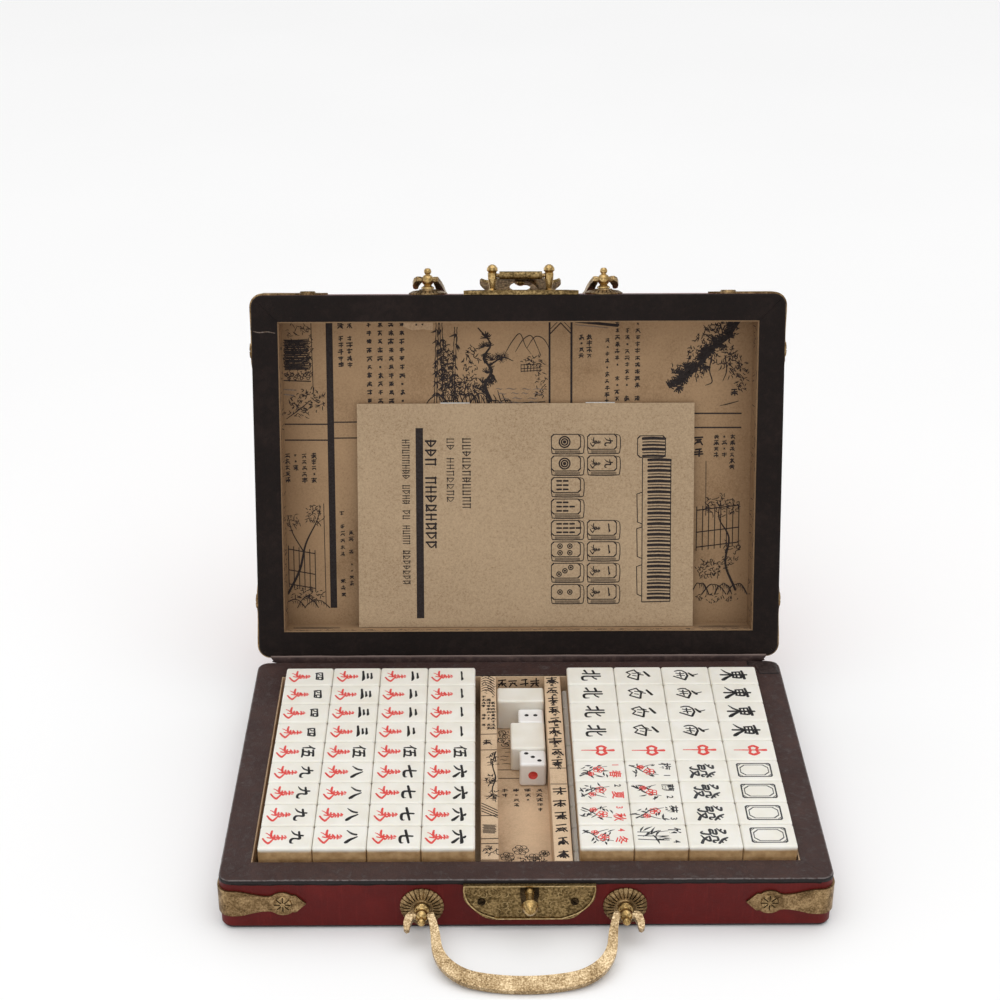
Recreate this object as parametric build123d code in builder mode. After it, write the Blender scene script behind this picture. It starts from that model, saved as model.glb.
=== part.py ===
from build123d import *
import os
from math import cos, sin, radians, hypot, atan2, degrees

os.makedirs("parts", exist_ok=True)

# ---------------------------------------------------------------------------
# A flat leather-covered game case. The frame: origin on the table under the
# middle of the lower half, +X to the right, +Y to the back (hinge side), +Z up.
# The front, with the lock and the handles, faces -Y. All sizes in millimetres.
# ---------------------------------------------------------------------------

# the case
W = 232.0              # width of both halves
D = 160.0              # depth of both halves
HB = 22.5              # height of the lower half
HL = 20.0              # height of the lid
GAP = 1.3              # gap between the two rims when shut
R_EDGE = 5.0           # vertical corner radius
LEATHER = 1.0          # leather thickness
RIM = 11.4             # width of the rim in x and y
FOOT = 1.4             # dark sheet under the base
PANEL = 2.0            # bottom and top boards
LINING = 0.5           # paper lining

OPEN = 108.5           # how far the lid stands open at rest
HINGE_Y = D / 2 + 1.0
HINGE_Z = HB + GAP / 2
LID0 = HB + GAP        # lower edge of the shut lid
LID1 = LID0 + HL       # top of the shut lid
FRONT = -D / 2

IN_X = W / 2 - RIM     # inner face of the boards
IN_Y = D / 2 - RIM
OUT_X = W / 2 - LEATHER
OUT_Y = D / 2 - LEATHER

# lock, in the closed position
LOCK_X = 1.2
LOCK_HALF = 24.9
PLATE_T = 1.2
PLATE_RIM = 0.5
POST_Z = 17.8          # lock post height above the table
PIN_OUT = 8.0          # hasp pin, distance from the front face
PIN_Z = 33.9
PIN_R = 0.9
HASP_REST = 206.0      # from hanging to leaning back over the lid's edge
RIVET_Z = 28.5
FLAP_IN = 6.2          # flap, inner and outer face from the front
FLAP_OUT = 7.6

# bail handles
BAIL_X = -1.0          # middle between the two posts
BAIL_HALF = 38.4
BAIL_OUT = 6.2         # pivot axis, distance from the front face
BASE_BAIL_Z = 10.4
LID_BAIL_Z = 33.0
BAIL_PIN_R = 1.3
BAIL_HOLE_R = 1.38
BASE_BAIL_DOWN = 15.4  # below the horizontal, resting on the table
LID_BAIL_LEAN = 27.0   # past upright, leaning on the lid's edge

# contents
TILE_L, TILE_W, TILE_T = 20.6, 14.7, 11.5
PITCH_X, PITCH_Y = 20.75, 14.84
TILE_R = 1.0
DIE = 11.2
FLOOR = FOOT + PANEL + 0.6
REST_GAP = 0.05

HINGE = Axis((0, HINGE_Y, HINGE_Z), (1, 0, 0))
HASP_AXIS = Axis((0, FRONT - PIN_OUT, PIN_Z), (1, 0, 0))
LID_BAIL_AXIS = Axis((0, FRONT - BAIL_OUT, LID_BAIL_Z), (1, 0, 0))
BASE_BAIL_AXIS = Axis((0, FRONT - BAIL_OUT, BASE_BAIL_Z), (1, 0, 0))

# planes that face the viewer of the front: local x = +X, local y = +Z,
# extruding goes outward, along -Y
def front_plane(x, z, out=0.0):
    return Plane(origin=(x, FRONT - out, z), x_dir=(1, 0, 0), z_dir=(0, -1, 0))


# ===========================================================================
# LOWER HALF
# ===========================================================================
with BuildPart() as base_foot_sheet:
    with BuildSketch(Plane.XY):
        RectangleRounded(W - 1.0, D - 1.0, R_EDGE - 0.5)
    extrude(amount=FOOT)
    chamfer(base_foot_sheet.faces().sort_by(Axis.Z)[0].edges(), length=0.5)
base_foot_sheet.part.label = "base_foot_sheet"
export_step(base_foot_sheet.part, "parts/base_foot_sheet.step")

with BuildPart() as base_bottom_panel:
    with BuildSketch(Plane.XY.offset(FOOT)):
        RectangleRounded(2 * OUT_X, 2 * OUT_Y, R_EDGE - LEATHER)
    extrude(amount=PANEL)
base_bottom_panel.part.label = "base_bottom_panel"
export_step(base_bottom_panel.part, "parts/base_bottom_panel.step")

WALL0 = FOOT + PANEL
WALL1 = HB - 1.1
LIP = 0.8              # the rim leather turns down over the outside by this much
SIDE_T = OUT_X - IN_X
FRONT_T = OUT_Y - IN_Y

with BuildPart() as base_wall_front:
    with BuildSketch(Plane.XY.offset(WALL0)):
        with Locations((0, -(IN_Y + OUT_Y) / 2)):
            Rectangle(2 * OUT_X, FRONT_T)
    extrude(amount=WALL1 - WALL0)
    fillet(base_wall_front.edges().filter_by(Axis.Z).group_by(Axis.Y)[0], radius=R_EDGE - LEATHER)
base_wall_front.part.label = "base_wall_front"
export_step(base_wall_front.part, "parts/base_wall_front.step")

with BuildPart() as base_wall_back:
    with BuildSketch(Plane.XY.offset(WALL0)):
        with Locations((0, (IN_Y + OUT_Y) / 2)):
            Rectangle(2 * OUT_X, FRONT_T)
    extrude(amount=WALL1 - WALL0)
    fillet(base_wall_back.edges().filter_by(Axis.Z).group_by(Axis.Y)[-1], radius=R_EDGE - LEATHER)
base_wall_back.part.label = "base_wall_back"
export_step(base_wall_back.part, "parts/base_wall_back.step")

with BuildPart() as base_wall_left:
    with BuildSketch(Plane.XY.offset(WALL0)):
        with Locations((-(IN_X + OUT_X) / 2, 0)):
            Rectangle(SIDE_T, 2 * IN_Y)
    extrude(amount=WALL1 - WALL0)
base_wall_left.part.label = "base_wall_left"
export_step(base_wall_left.part, "parts/base_wall_left.step")

with BuildPart() as base_wall_right:
    with BuildSketch(Plane.XY.offset(WALL0)):
        with Locations(((IN_X + OUT_X) / 2, 0)):
            Rectangle(SIDE_T, 2 * IN_Y)
    extrude(amount=WALL1 - WALL0)
base_wall_right.part.label = "base_wall_right"
export_step(base_wall_right.part, "parts/base_wall_right.step")

with BuildPart() as base_leather_cover:
    with BuildSketch(Plane.XY.offset(FOOT)):
        RectangleRounded(W, D, R_EDGE)
        RectangleRounded(2 * OUT_X, 2 * OUT_Y, R_EDGE - LEATHER, mode=Mode.SUBTRACT)
    extrude(amount=WALL1 - LIP - FOOT)
base_leather_cover.part.label = "base_leather_cover"
export_step(base_leather_cover.part, "parts/base_leather_cover.step")

# rim leather: four strips with mitred ends, 0.1 mm apart at the mitres, with a
# lip turned down over the outside
with BuildPart() as base_rim_leather:
    with BuildSketch(Plane.XY.offset(WALL1)):
        RectangleRounded(W, D, R_EDGE)
        Rectangle(2 * IN_X, 2 * IN_Y, mode=Mode.SUBTRACT)
        for sx in (-1, 1):
            for sy in (-1, 1):
                with Locations(Location((sx * (W / 2 - RIM / 2), sy * (D / 2 - RIM / 2), 0), (0, 0, sx * sy * 45))):
                    Rectangle(2.2 * RIM, 0.1, mode=Mode.SUBTRACT)
    extrude(amount=HB - WALL1)
    with BuildSketch(Plane.XY.offset(WALL1)):
        RectangleRounded(W, D, R_EDGE)
        RectangleRounded(2 * OUT_X, 2 * OUT_Y, R_EDGE - LEATHER, mode=Mode.SUBTRACT)
        for sx in (-1, 1):
            for sy in (-1, 1):
                with Locations(Location((sx * (W / 2 - RIM / 2), sy * (D / 2 - RIM / 2), 0), (0, 0, sx * sy * 45))):
                    Rectangle(2.2 * RIM, 0.1, mode=Mode.SUBTRACT)
    extrude(amount=-LIP)
    fillet([e for e in base_rim_leather.faces().filter_by(Plane.XY).group_by(Axis.Z)[-1].edges()
            if abs(e.center().X) > W / 2 - 1.6 or abs(e.center().Y) > D / 2 - 1.6], radius=0.9)
base_rim_leather.part.label = "base_rim_leather"
export_step(base_rim_leather.part, "parts/base_rim_leather.step")

with BuildPart() as base_floor_lining:
    with BuildSketch(Plane.XY.offset(WALL0)):
        Rectangle(2 * (IN_X - LINING), 2 * (IN_Y - LINING))
    extrude(amount=0.6)
base_floor_lining.part.label = "base_floor_lining"
export_step(base_floor_lining.part, "parts/base_floor_lining.step")

with BuildPart() as base_wall_lining:
    with BuildSketch(Plane.XY.offset(WALL0)):
        Rectangle(2 * IN_X, 2 * IN_Y)
        Rectangle(2 * (IN_X - LINING), 2 * (IN_Y - LINING), mode=Mode.SUBTRACT)
    extrude(amount=HB - 0.8 - WALL0)
base_wall_lining.part.label = "base_wall_lining"
export_step(base_wall_lining.part, "parts/base_wall_lining.step")

DIV_TOP = 22.2
with BuildPart() as divider_left:
    with BuildSketch(Plane.XY.offset(FLOOR)):
        with Locations((-13.65, 0.7)):
            Rectangle(6.9, 2 * (IN_Y - LINING) - 1.6)
    extrude(amount=DIV_TOP - FLOOR)
    fillet(divider_left.faces().sort_by(Axis.Z)[-1].edges(), radius=0.4)
divider_left.part.label = "divider_left"
export_step(divider_left.part, "parts/divider_left.step")

with BuildPart() as divider_right:
    with BuildSketch(Plane.XY.offset(FLOOR)):
        with Locations((14.5, 0)):
            Rectangle(7.0, 2 * (IN_Y - LINING) - 0.4)
    extrude(amount=DIV_TOP - FLOOR)
    fillet(divider_right.faces().sort_by(Axis.Z)[-1].edges(), radius=0.4)
divider_right.part.label = "divider_right"
export_step(divider_right.part, "parts/divider_right.step")

# ---- lock, lower half -----------------------------------------------------
PLATE_TOP = 20.8
PLATE_LOW = 5.0
with BuildPart() as base_lock_plate:
    with BuildSketch(front_plane(LOCK_X, PLATE_TOP)):
        with BuildLine():
            Line((-LOCK_HALF, 0), (LOCK_HALF, 0))
            Line((LOCK_HALF, 0), (LOCK_HALF, -3.4))
            Spline((LOCK_HALF, -3.4), (LOCK_HALF - 1.7, -8.6), (LOCK_HALF - 5.9, -13.1), (12.4, PLATE_LOW - PLATE_TOP),
                   tangents=((0, -1), (-1, 0)))
            Line((12.4, PLATE_LOW - PLATE_TOP), (-12.4, PLATE_LOW - PLATE_TOP))
            Spline((-12.4, PLATE_LOW - PLATE_TOP), (-LOCK_HALF + 5.9, -13.1), (-LOCK_HALF + 1.7, -8.6),
                   (-LOCK_HALF, -3.4), tangents=((-1, 0), (0, 1)))
            Line((-LOCK_HALF, -3.4), (-LOCK_HALF, 0))
        make_face()
    extrude(amount=PLATE_T + PLATE_RIM)
    with BuildSketch(front_plane(LOCK_X, PLATE_TOP, PLATE_T)):
        with BuildLine():
            Line((-LOCK_HALF + 0.6, -0.6), (LOCK_HALF - 0.6, -0.6))
            Line((LOCK_HALF - 0.6, -0.6), (LOCK_HALF - 0.6, -3.4))
            Spline((LOCK_HALF - 0.6, -3.4), (LOCK_HALF - 2.25, -8.3), (LOCK_HALF - 6.25, -12.6),
                   (12.3, PLATE_LOW - PLATE_TOP + 0.6), tangents=((0, -1), (-1, 0)))
            Line((12.3, PLATE_LOW - PLATE_TOP + 0.6), (-12.3, PLATE_LOW - PLATE_TOP + 0.6))
            Spline((-12.3, PLATE_LOW - PLATE_TOP + 0.6), (-LOCK_HALF + 6.25, -12.6), (-LOCK_HALF + 2.25, -8.3),
                   (-LOCK_HALF + 0.6, -3.4), tangents=((-1, 0), (0, 1)))
            Line((-LOCK_HALF + 0.6, -3.4), (-LOCK_HALF + 0.6, -0.6))
        make_face()
    extrude(amount=PLATE_RIM, mode=Mode.SUBTRACT)
base_lock_plate.part.label = "base_lock_plate"
export_step(base_lock_plate.part, "parts/base_lock_plate.step")

# long post with a faceted head that the hasp drops over
with BuildPart() as lock_post:
    with BuildSketch(Plane(origin=(LOCK_X, FRONT, POST_Z), x_dir=(1, 0, 0), z_dir=(0, 0, 1))):
        with BuildLine():
            Polyline((0, -PLATE_T), (2.0, -PLATE_T), (2.0, -PLATE_T - 0.5), (1.8, -PLATE_T - 1.3),
                     (1.45, -PLATE_T - 2.6), (1.45, -9.3), (3.2, -10.4), (2.9, -11.6), (2.0, -13.2),
                     (0.8, -14.2), (0, -14.2), (0, -PLATE_T))
        make_face()
    revolve(axis=Axis((LOCK_X, FRONT, POST_Z), (0, 1, 0)), revolution_arc=360)
lock_post.part.label = "lock_post"
export_step(lock_post.part, "parts/lock_post.step")

with BuildPart() as base_lock_screws:
    for sx in (-16.9, 18.3):
        with BuildSketch(front_plane(sx, 13.2, PLATE_T)):
            Circle(1.55)
        extrude(amount=0.7)
    fillet(base_lock_screws.faces().filter_by(Axis.Y).group_by(Axis.Y)[0].edges(), radius=0.45)
    for sx, turn in ((-16.9, 25), (18.3, -40)):
        with BuildSketch(front_plane(sx, 13.2, PLATE_T + 0.35)):
            Rectangle(2.6, 0.45, rotation=turn)
        extrude(amount=1.0, mode=Mode.SUBTRACT)
base_lock_screws.part.label = "base_lock_screws"
export_step(base_lock_screws.part, "parts/base_lock_screws.step")


# ---- corner straps ----------------------------------------------------------
# each strap wraps one vertical corner: two arms, wide at the corner, with a
# waist, a round lobe for the screw and a pointed tip
ARM_T = 0.8
STRAP_LEN = 33.0
LOBE_AT = 24.2
STRAP_H = 5.7
BASE_STRAP_Z = 12.1
LID_STRAP_Z = 32.2
CX, CY = W / 2, D / 2

with BuildPart() as base_corner_brackets:
    with BuildSketch(Plane.XY.offset(BASE_STRAP_Z - STRAP_H)):
        with Locations((-CX + R_EDGE, -CY + R_EDGE)):
            Circle(R_EDGE + ARM_T)
            Circle(R_EDGE, mode=Mode.SUBTRACT)
        with Locations((-CX + R_EDGE + 10, -CY + R_EDGE)):
            Rectangle(20, 40, mode=Mode.SUBTRACT)
        with Locations((-CX + R_EDGE, -CY + R_EDGE + 10)):
            Rectangle(40, 20, mode=Mode.SUBTRACT)
    extrude(amount=2 * STRAP_H)
    for plane in (Plane(origin=(-CX, -CY, BASE_STRAP_Z), x_dir=(1, 0, 0), z_dir=(0, -1, 0)),
                  Plane(origin=(-CX, -CY, BASE_STRAP_Z), x_dir=(0, 1, 0), z_dir=(-1, 0, 0))):
        with BuildSketch(plane):
            with BuildLine():
                Line((R_EDGE, -STRAP_H), (R_EDGE, STRAP_H))
                Spline((R_EDGE, STRAP_H), (10.5, 4.9), (16.6, 3.5), (20.6, 3.9), tangents=((1, 0), (1, 0.6)))
                ThreePointArc((20.6, 3.9), (LOBE_AT, 5.2), (27.7, 3.8))
                Line((27.7, 3.8), (29.0, 3.9))
                Line((29.0, 3.9), (STRAP_LEN, 0))
                Line((STRAP_LEN, 0), (29.0, -3.9))
                Line((29.0, -3.9), (27.7, -3.8))
                ThreePointArc((27.7, -3.8), (LOBE_AT, -5.2), (20.6, -3.9))
                Spline((20.6, -3.9), (16.6, -3.5), (10.5, -4.9), (R_EDGE, -STRAP_H), tangents=((-1, 0.6), (-1, 0)))
            make_face()
        # the side plane's own y axis runs down, so the outline stays symmetric
        extrude(amount=ARM_T)
    mirror(about=Plane.YZ)
    mirror(about=Plane.XZ)
base_corner_brackets.part.label = "base_corner_brackets"
export_step(base_corner_brackets.part, "parts/base_corner_brackets.step")

# star-headed screws of the straps: eight per half
with BuildPart() as base_bracket_screws:
    for plane in (Plane(origin=(-CX + LOBE_AT, -CY - ARM_T, BASE_STRAP_Z), x_dir=(1, 0, 0), z_dir=(0, -1, 0)),
                  Plane(origin=(-CX - ARM_T, -CY + LOBE_AT, BASE_STRAP_Z), x_dir=(0, 1, 0), z_dir=(-1, 0, 0))):
        with BuildSketch(plane):
            Circle(3.5)
        extrude(amount=0.7, taper=25)
        with BuildSketch(plane.offset(0.35)):
            with PolarLocations(0, 8):
                with Locations((2.1, 0)):
                    Rectangle(2.4, 0.5)
        extrude(amount=1.0, mode=Mode.SUBTRACT)
    mirror(about=Plane.YZ)
    mirror(about=Plane.XZ)
base_bracket_screws.part.label = "base_bracket_screws"
export_step(base_bracket_screws.part, "parts/base_bracket_screws.step")

# ---- bail fittings ----------------------------------------------------------
ROSETTE_R = 8.3
PETALS = 26


with BuildPart() as base_handle_rosettes:
    for sx in (-1, 1):
        x0 = BAIL_X + sx * BAIL_HALF
        with BuildSketch(Plane(origin=(x0, FRONT, BASE_BAIL_Z), x_dir=(1, 0, 0), z_dir=(0, 0, 1))):
            with BuildLine():
                Polyline((2.3, 0), (ROSETTE_R, 0), (ROSETTE_R, -0.6), (6.4, -1.5), (3.9, -1.8), (3.6, -2.2),
                         (2.3, -2.2), (2.3, 0))
            make_face()
        revolve(axis=Axis((x0, FRONT, BASE_BAIL_Z), (0, 1, 0)), revolution_arc=360)
        with BuildSketch(front_plane(x0, BASE_BAIL_Z)):
            with PolarLocations(0, PETALS):
                with Locations((6.6, 0)):
                    Rectangle(4.6, 0.5)
        extrude(amount=3.0, mode=Mode.SUBTRACT)
        with BuildSketch(front_plane(x0, BASE_BAIL_Z)):
            Circle(7.9)
            Circle(2.3, mode=Mode.SUBTRACT)
        extrude(amount=0.7)
base_handle_rosettes.part.label = "base_handle_rosettes"
export_step(base_handle_rosettes.part, "parts/base_handle_rosettes.step")

# collar, a ball with the cross hole for the bail's pin, and a small end knob
with BuildPart() as base_handle_posts:
    for sx in (-1, 1):
        x0 = BAIL_X + sx * BAIL_HALF
        with BuildSketch(Plane(origin=(x0, FRONT, BASE_BAIL_Z), x_dir=(1, 0, 0), z_dir=(0, 0, 1))):
            with BuildLine():
                Polyline((0, 0), (2.25, 0), (2.25, -2.3), (2.9, -2.5), (2.7, -3.1), (1.9, -3.6), (1.6, -3.99))
                ThreePointArc((1.6, -3.99), (2.65, -6.1), (1.6, -8.21))
                Polyline((1.6, -8.21), (1.1, -8.45), (1.1, -8.69))
                ThreePointArc((1.1, -8.69), (1.6, -9.85), (0.9, -11.17))
                Polyline((0.9, -11.17), (0, -11.3), (0, 0))
            make_face()
        revolve(axis=Axis((x0, FRONT, BASE_BAIL_Z), (0, 1, 0)), revolution_arc=360)
        with BuildSketch(Plane(origin=(x0 - 4, FRONT - BAIL_OUT, BASE_BAIL_Z), x_dir=(0, 1, 0), z_dir=(1, 0, 0))):
            Circle(BAIL_HOLE_R)
        extrude(amount=8, mode=Mode.SUBTRACT)
base_handle_posts.part.label = "base_handle_posts"
export_step(base_handle_posts.part, "parts/base_handle_posts.step")

# the bail, drawn hanging straight down in front of the case: two arms that
# widen into a flat grip, pins through the eye posts and short curled ends
BAIL_T = 1.1           # half thickness
OUTER = [(35.9, -1.6), (35.1, -6.2), (34.7, -10.9), (34.3, -15.3), (32.9, -20.2), (31.0, -23.7), (27.8, -27.2),
         (23.1, -30.4), (16.3, -32.6), (8.2, -33.9), (0.0, -34.3)]
INNER = [(33.3, -1.0), (32.1, -5.2), (31.2, -9.7), (30.5, -14.2), (28.5, -18.6), (25.3, -22.0), (20.7, -24.8),
         (13.7, -26.6), (0.0, -27.7)]
OUTER_ALL = OUTER + [(-x, y) for x, y in OUTER[-2::-1]]
INNER_ALL = [(-x, y) for x, y in INNER] + INNER[-2::-1]
TIP = [(41.3, 1.1), (43.0, 1.3), (44.4, -0.4), (45.1, -3.4), (44.9, -6.2), (43.9, -7.2), (42.8, -6.6), (42.4, -4.0),
       (41.3, -1.2), (41.3, 1.1)]

with BuildPart() as base_handle:
    with BuildSketch(front_plane(BAIL_X, BASE_BAIL_Z, BAIL_OUT - BAIL_T)):
        with BuildLine():
            Spline(*OUTER_ALL)
            Polyline(OUTER_ALL[-1], (-35.6, 0.9), (-33.9, 0.9), INNER_ALL[0])
            Spline(*INNER_ALL)
            Polyline(INNER_ALL[-1], (33.9, 0.9), (35.6, 0.9), OUTER_ALL[0])
        make_face()
        for sx in (-1, 1):
            with BuildLine():
                Polyline(*[(sx * x, y) for x, y in TIP])
            make_face()
    extrude(amount=2 * BAIL_T)
    for sx in (-1, 1):
        with BuildSketch(Plane(origin=(BAIL_X + sx * 34.2, FRONT - BAIL_OUT, BASE_BAIL_Z), x_dir=(0, 1, 0),
                               z_dir=(sx, 0, 0))):
            Circle(BAIL_PIN_R)
        extrude(amount=8.4)
lid_handle_drawn = base_handle.part.moved(Location((0, 0, LID_BAIL_Z - BASE_BAIL_Z)))
base_handle.part = base_handle.part.rotate(BASE_BAIL_AXIS, -(90 - BASE_BAIL_DOWN))
base_handle.part.label = "base_handle"
export_step(base_handle.part, "parts/base_handle.step")

# ---- leather hinge, the half on the base: a glued strip and the fold --------
HINGE_HALF = 101.0
FOLD_HALF = 109.0
HINGE_LOW = 18.4        # lower edge, above the corner straps
with BuildPart() as base_hinge_leather:
    with BuildSketch(Plane.XY.offset(HINGE_LOW)):
        with Locations((0, D / 2 + 0.35)):
            Rectangle(2 * HINGE_HALF, 0.7)
    extrude(amount=22.9 - HINGE_LOW)
    with BuildSketch(Plane(origin=(-FOLD_HALF, HINGE_Y, HINGE_Z), x_dir=(0, 1, 0), z_dir=(1, 0, 0))):
        Circle(0.55)
    extrude(amount=2 * FOLD_HALF)
base_hinge_leather.part.label = "base_hinge_leather"
export_step(base_hinge_leather.part, "parts/base_hinge_leather.step")

# ===========================================================================
# LID: every piece is drawn in the shut position, then swung open by OPEN
# degrees about the leather hinge
# ===========================================================================
LWALL0 = LID0 + 1.1
LTOP = LID1 - LEATHER           # top of the boards
LWALL1 = LTOP - 2.2

with BuildPart() as lid_top_panel:
    with BuildSketch(Plane.XY.offset(LWALL1)):
        RectangleRounded(2 * OUT_X, 2 * OUT_Y, R_EDGE - LEATHER)
    extrude(amount=LTOP - LWALL1)
    fillet(lid_top_panel.faces().sort_by(Axis.Z)[-1].edges(), radius=2.0)
lid_top_panel.part = lid_top_panel.part.rotate(HINGE, -OPEN)
lid_top_panel.part.label = "lid_top_panel"
export_step(lid_top_panel.part, "parts/lid_top_panel.step")

with BuildPart() as lid_wall_front:
    with BuildSketch(Plane.XY.offset(LWALL0)):
        with Locations((0, -(IN_Y + OUT_Y) / 2)):
            Rectangle(2 * OUT_X, FRONT_T)
    extrude(amount=LWALL1 - LWALL0)
    fillet(lid_wall_front.edges().filter_by(Axis.Z).group_by(Axis.Y)[0], radius=R_EDGE - LEATHER)
lid_wall_front.part = lid_wall_front.part.rotate(HINGE, -OPEN)
lid_wall_front.part.label = "lid_wall_front"
export_step(lid_wall_front.part, "parts/lid_wall_front.step")

with BuildPart() as lid_wall_back:
    with BuildSketch(Plane.XY.offset(LWALL0)):
        with Locations((0, (IN_Y + OUT_Y) / 2)):
            Rectangle(2 * OUT_X, FRONT_T)
    extrude(amount=LWALL1 - LWALL0)
    fillet(lid_wall_back.edges().filter_by(Axis.Z).group_by(Axis.Y)[-1], radius=R_EDGE - LEATHER)
lid_wall_back.part = lid_wall_back.part.rotate(HINGE, -OPEN)
lid_wall_back.part.label = "lid_wall_back"
export_step(lid_wall_back.part, "parts/lid_wall_back.step")

with BuildPart() as lid_wall_left:
    with BuildSketch(Plane.XY.offset(LWALL0)):
        with Locations((-(IN_X + OUT_X) / 2, 0)):
            Rectangle(SIDE_T, 2 * IN_Y)
    extrude(amount=LWALL1 - LWALL0)
lid_wall_left.part = lid_wall_left.part.rotate(HINGE, -OPEN)
lid_wall_left.part.label = "lid_wall_left"
export_step(lid_wall_left.part, "parts/lid_wall_left.step")

with BuildPart() as lid_wall_right:
    with BuildSketch(Plane.XY.offset(LWALL0)):
        with Locations(((IN_X + OUT_X) / 2, 0)):
            Rectangle(SIDE_T, 2 * IN_Y)
    extrude(amount=LWALL1 - LWALL0)
lid_wall_right.part = lid_wall_right.part.rotate(HINGE, -OPEN)
lid_wall_right.part.label = "lid_wall_right"
export_step(lid_wall_right.part, "parts/lid_wall_right.step")

with BuildPart() as lid_leather_cover:
    with BuildSketch(Plane.XY.offset(LWALL0 + LIP)):
        RectangleRounded(W, D, R_EDGE)
    extrude(amount=LID1 - LWALL0 - LIP)
    fillet(lid_leather_cover.faces().sort_by(Axis.Z)[-1].edges(), radius=3.0)
    offset(amount=-LEATHER, openings=lid_leather_cover.faces().sort_by(Axis.Z)[0])
lid_leather_cover.part = lid_leather_cover.part.rotate(HINGE, -OPEN)
lid_leather_cover.part.label = "lid_leather_cover"
export_step(lid_leather_cover.part, "parts/lid_leather_cover.step")

with BuildPart() as lid_rim_leather:
    with BuildSketch(Plane.XY.offset(LID0)):
        RectangleRounded(W, D, R_EDGE)
        Rectangle(2 * IN_X, 2 * IN_Y, mode=Mode.SUBTRACT)
        for sx in (-1, 1):
            for sy in (-1, 1):
                with Locations(Location((sx * (W / 2 - RIM / 2), sy * (D / 2 - RIM / 2), 0), (0, 0, sx * sy * 45))):
                    Rectangle(2.2 * RIM, 0.1, mode=Mode.SUBTRACT)
    extrude(amount=LWALL0 - LID0)
    with BuildSketch(Plane.XY.offset(LWALL0)):
        RectangleRounded(W, D, R_EDGE)
        RectangleRounded(2 * OUT_X, 2 * OUT_Y, R_EDGE - LEATHER, mode=Mode.SUBTRACT)
        for sx in (-1, 1):
            for sy in (-1, 1):
                with Locations(Location((sx * (W / 2 - RIM / 2), sy * (D / 2 - RIM / 2), 0), (0, 0, sx * sy * 45))):
                    Rectangle(2.2 * RIM, 0.1, mode=Mode.SUBTRACT)
    extrude(amount=LIP)
    fillet([e for e in lid_rim_leather.faces().filter_by(Plane.XY).group_by(Axis.Z)[0].edges()
            if abs(e.center().X) > W / 2 - 1.6 or abs(e.center().Y) > D / 2 - 1.6], radius=0.9)
lid_rim_leather.part = lid_rim_leather.part.rotate(HINGE, -OPEN)
lid_rim_leather.part.label = "lid_rim_leather"
export_step(lid_rim_leather.part, "parts/lid_rim_leather.step")

with BuildPart() as lid_lining:
    with BuildSketch(Plane.XY.offset(LID0 + 0.5)):
        Rectangle(2 * IN_X, 2 * IN_Y)
    extrude(amount=LWALL1 - LID0 - 0.5)
    with BuildSketch(Plane.XY.offset(LID0 + 0.5)):
        Rectangle(2 * (IN_X - LINING), 2 * (IN_Y - LINING))
    extrude(amount=LWALL1 - LID0 - 0.5 - LINING, mode=Mode.SUBTRACT)
lid_lining.part = lid_lining.part.rotate(HINGE, -OPEN)
lid_lining.part.label = "lid_lining"
export_step(lid_lining.part, "parts/lid_lining.step")

# ---- lock, upper half -------------------------------------------------------
UP0 = LID0 + 0.2
UP_H = 15.0
with BuildPart() as lid_lock_plate:
    with BuildSketch(front_plane(LOCK_X, UP0)):
        with BuildLine():
            Line((LOCK_HALF, 0), (-LOCK_HALF, 0))
            Line((-LOCK_HALF, 0), (-LOCK_HALF, 3.0))
            Spline((-LOCK_HALF, 3.0), (-LOCK_HALF + 1.8, 8.2), (-LOCK_HALF + 6.2, 12.6), (-12.4, UP_H),
                   tangents=((0, 1), (1, 0)))
            Line((-12.4, UP_H), (12.4, UP_H))
            Spline((12.4, UP_H), (LOCK_HALF - 6.2, 12.6), (LOCK_HALF - 1.8, 8.2), (LOCK_HALF, 3.0),
                   tangents=((1, 0), (0, -1)))
            Line((LOCK_HALF, 3.0), (LOCK_HALF, 0))
        make_face()
    extrude(amount=PLATE_T + PLATE_RIM)
    with BuildSketch(front_plane(LOCK_X, UP0, PLATE_T)):
        with BuildLine():
            Line((LOCK_HALF - 0.6, 0.6), (-LOCK_HALF + 0.6, 0.6))
            Line((-LOCK_HALF + 0.6, 0.6), (-LOCK_HALF + 0.6, 3.0))
            Spline((-LOCK_HALF + 0.6, 3.0), (-LOCK_HALF + 2.35, 7.9), (-LOCK_HALF + 6.55, 12.1), (-12.3, UP_H - 0.6),
                   tangents=((0, 1), (1, 0)))
            Line((-12.3, UP_H - 0.6), (12.3, UP_H - 0.6))
            Spline((12.3, UP_H - 0.6), (LOCK_HALF - 6.55, 12.1), (LOCK_HALF - 2.35, 7.9), (LOCK_HALF - 0.6, 3.0),
                   tangents=((1, 0), (0, -1)))
            Line((LOCK_HALF - 0.6, 3.0), (LOCK_HALF - 0.6, 0.6))
        make_face()
    extrude(amount=PLATE_RIM, mode=Mode.SUBTRACT)
lid_lock_plate.part = lid_lock_plate.part.rotate(HINGE, -OPEN)
lid_lock_plate.part.label = "lid_lock_plate"
export_step(lid_lock_plate.part, "parts/lid_lock_plate.step")

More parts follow.
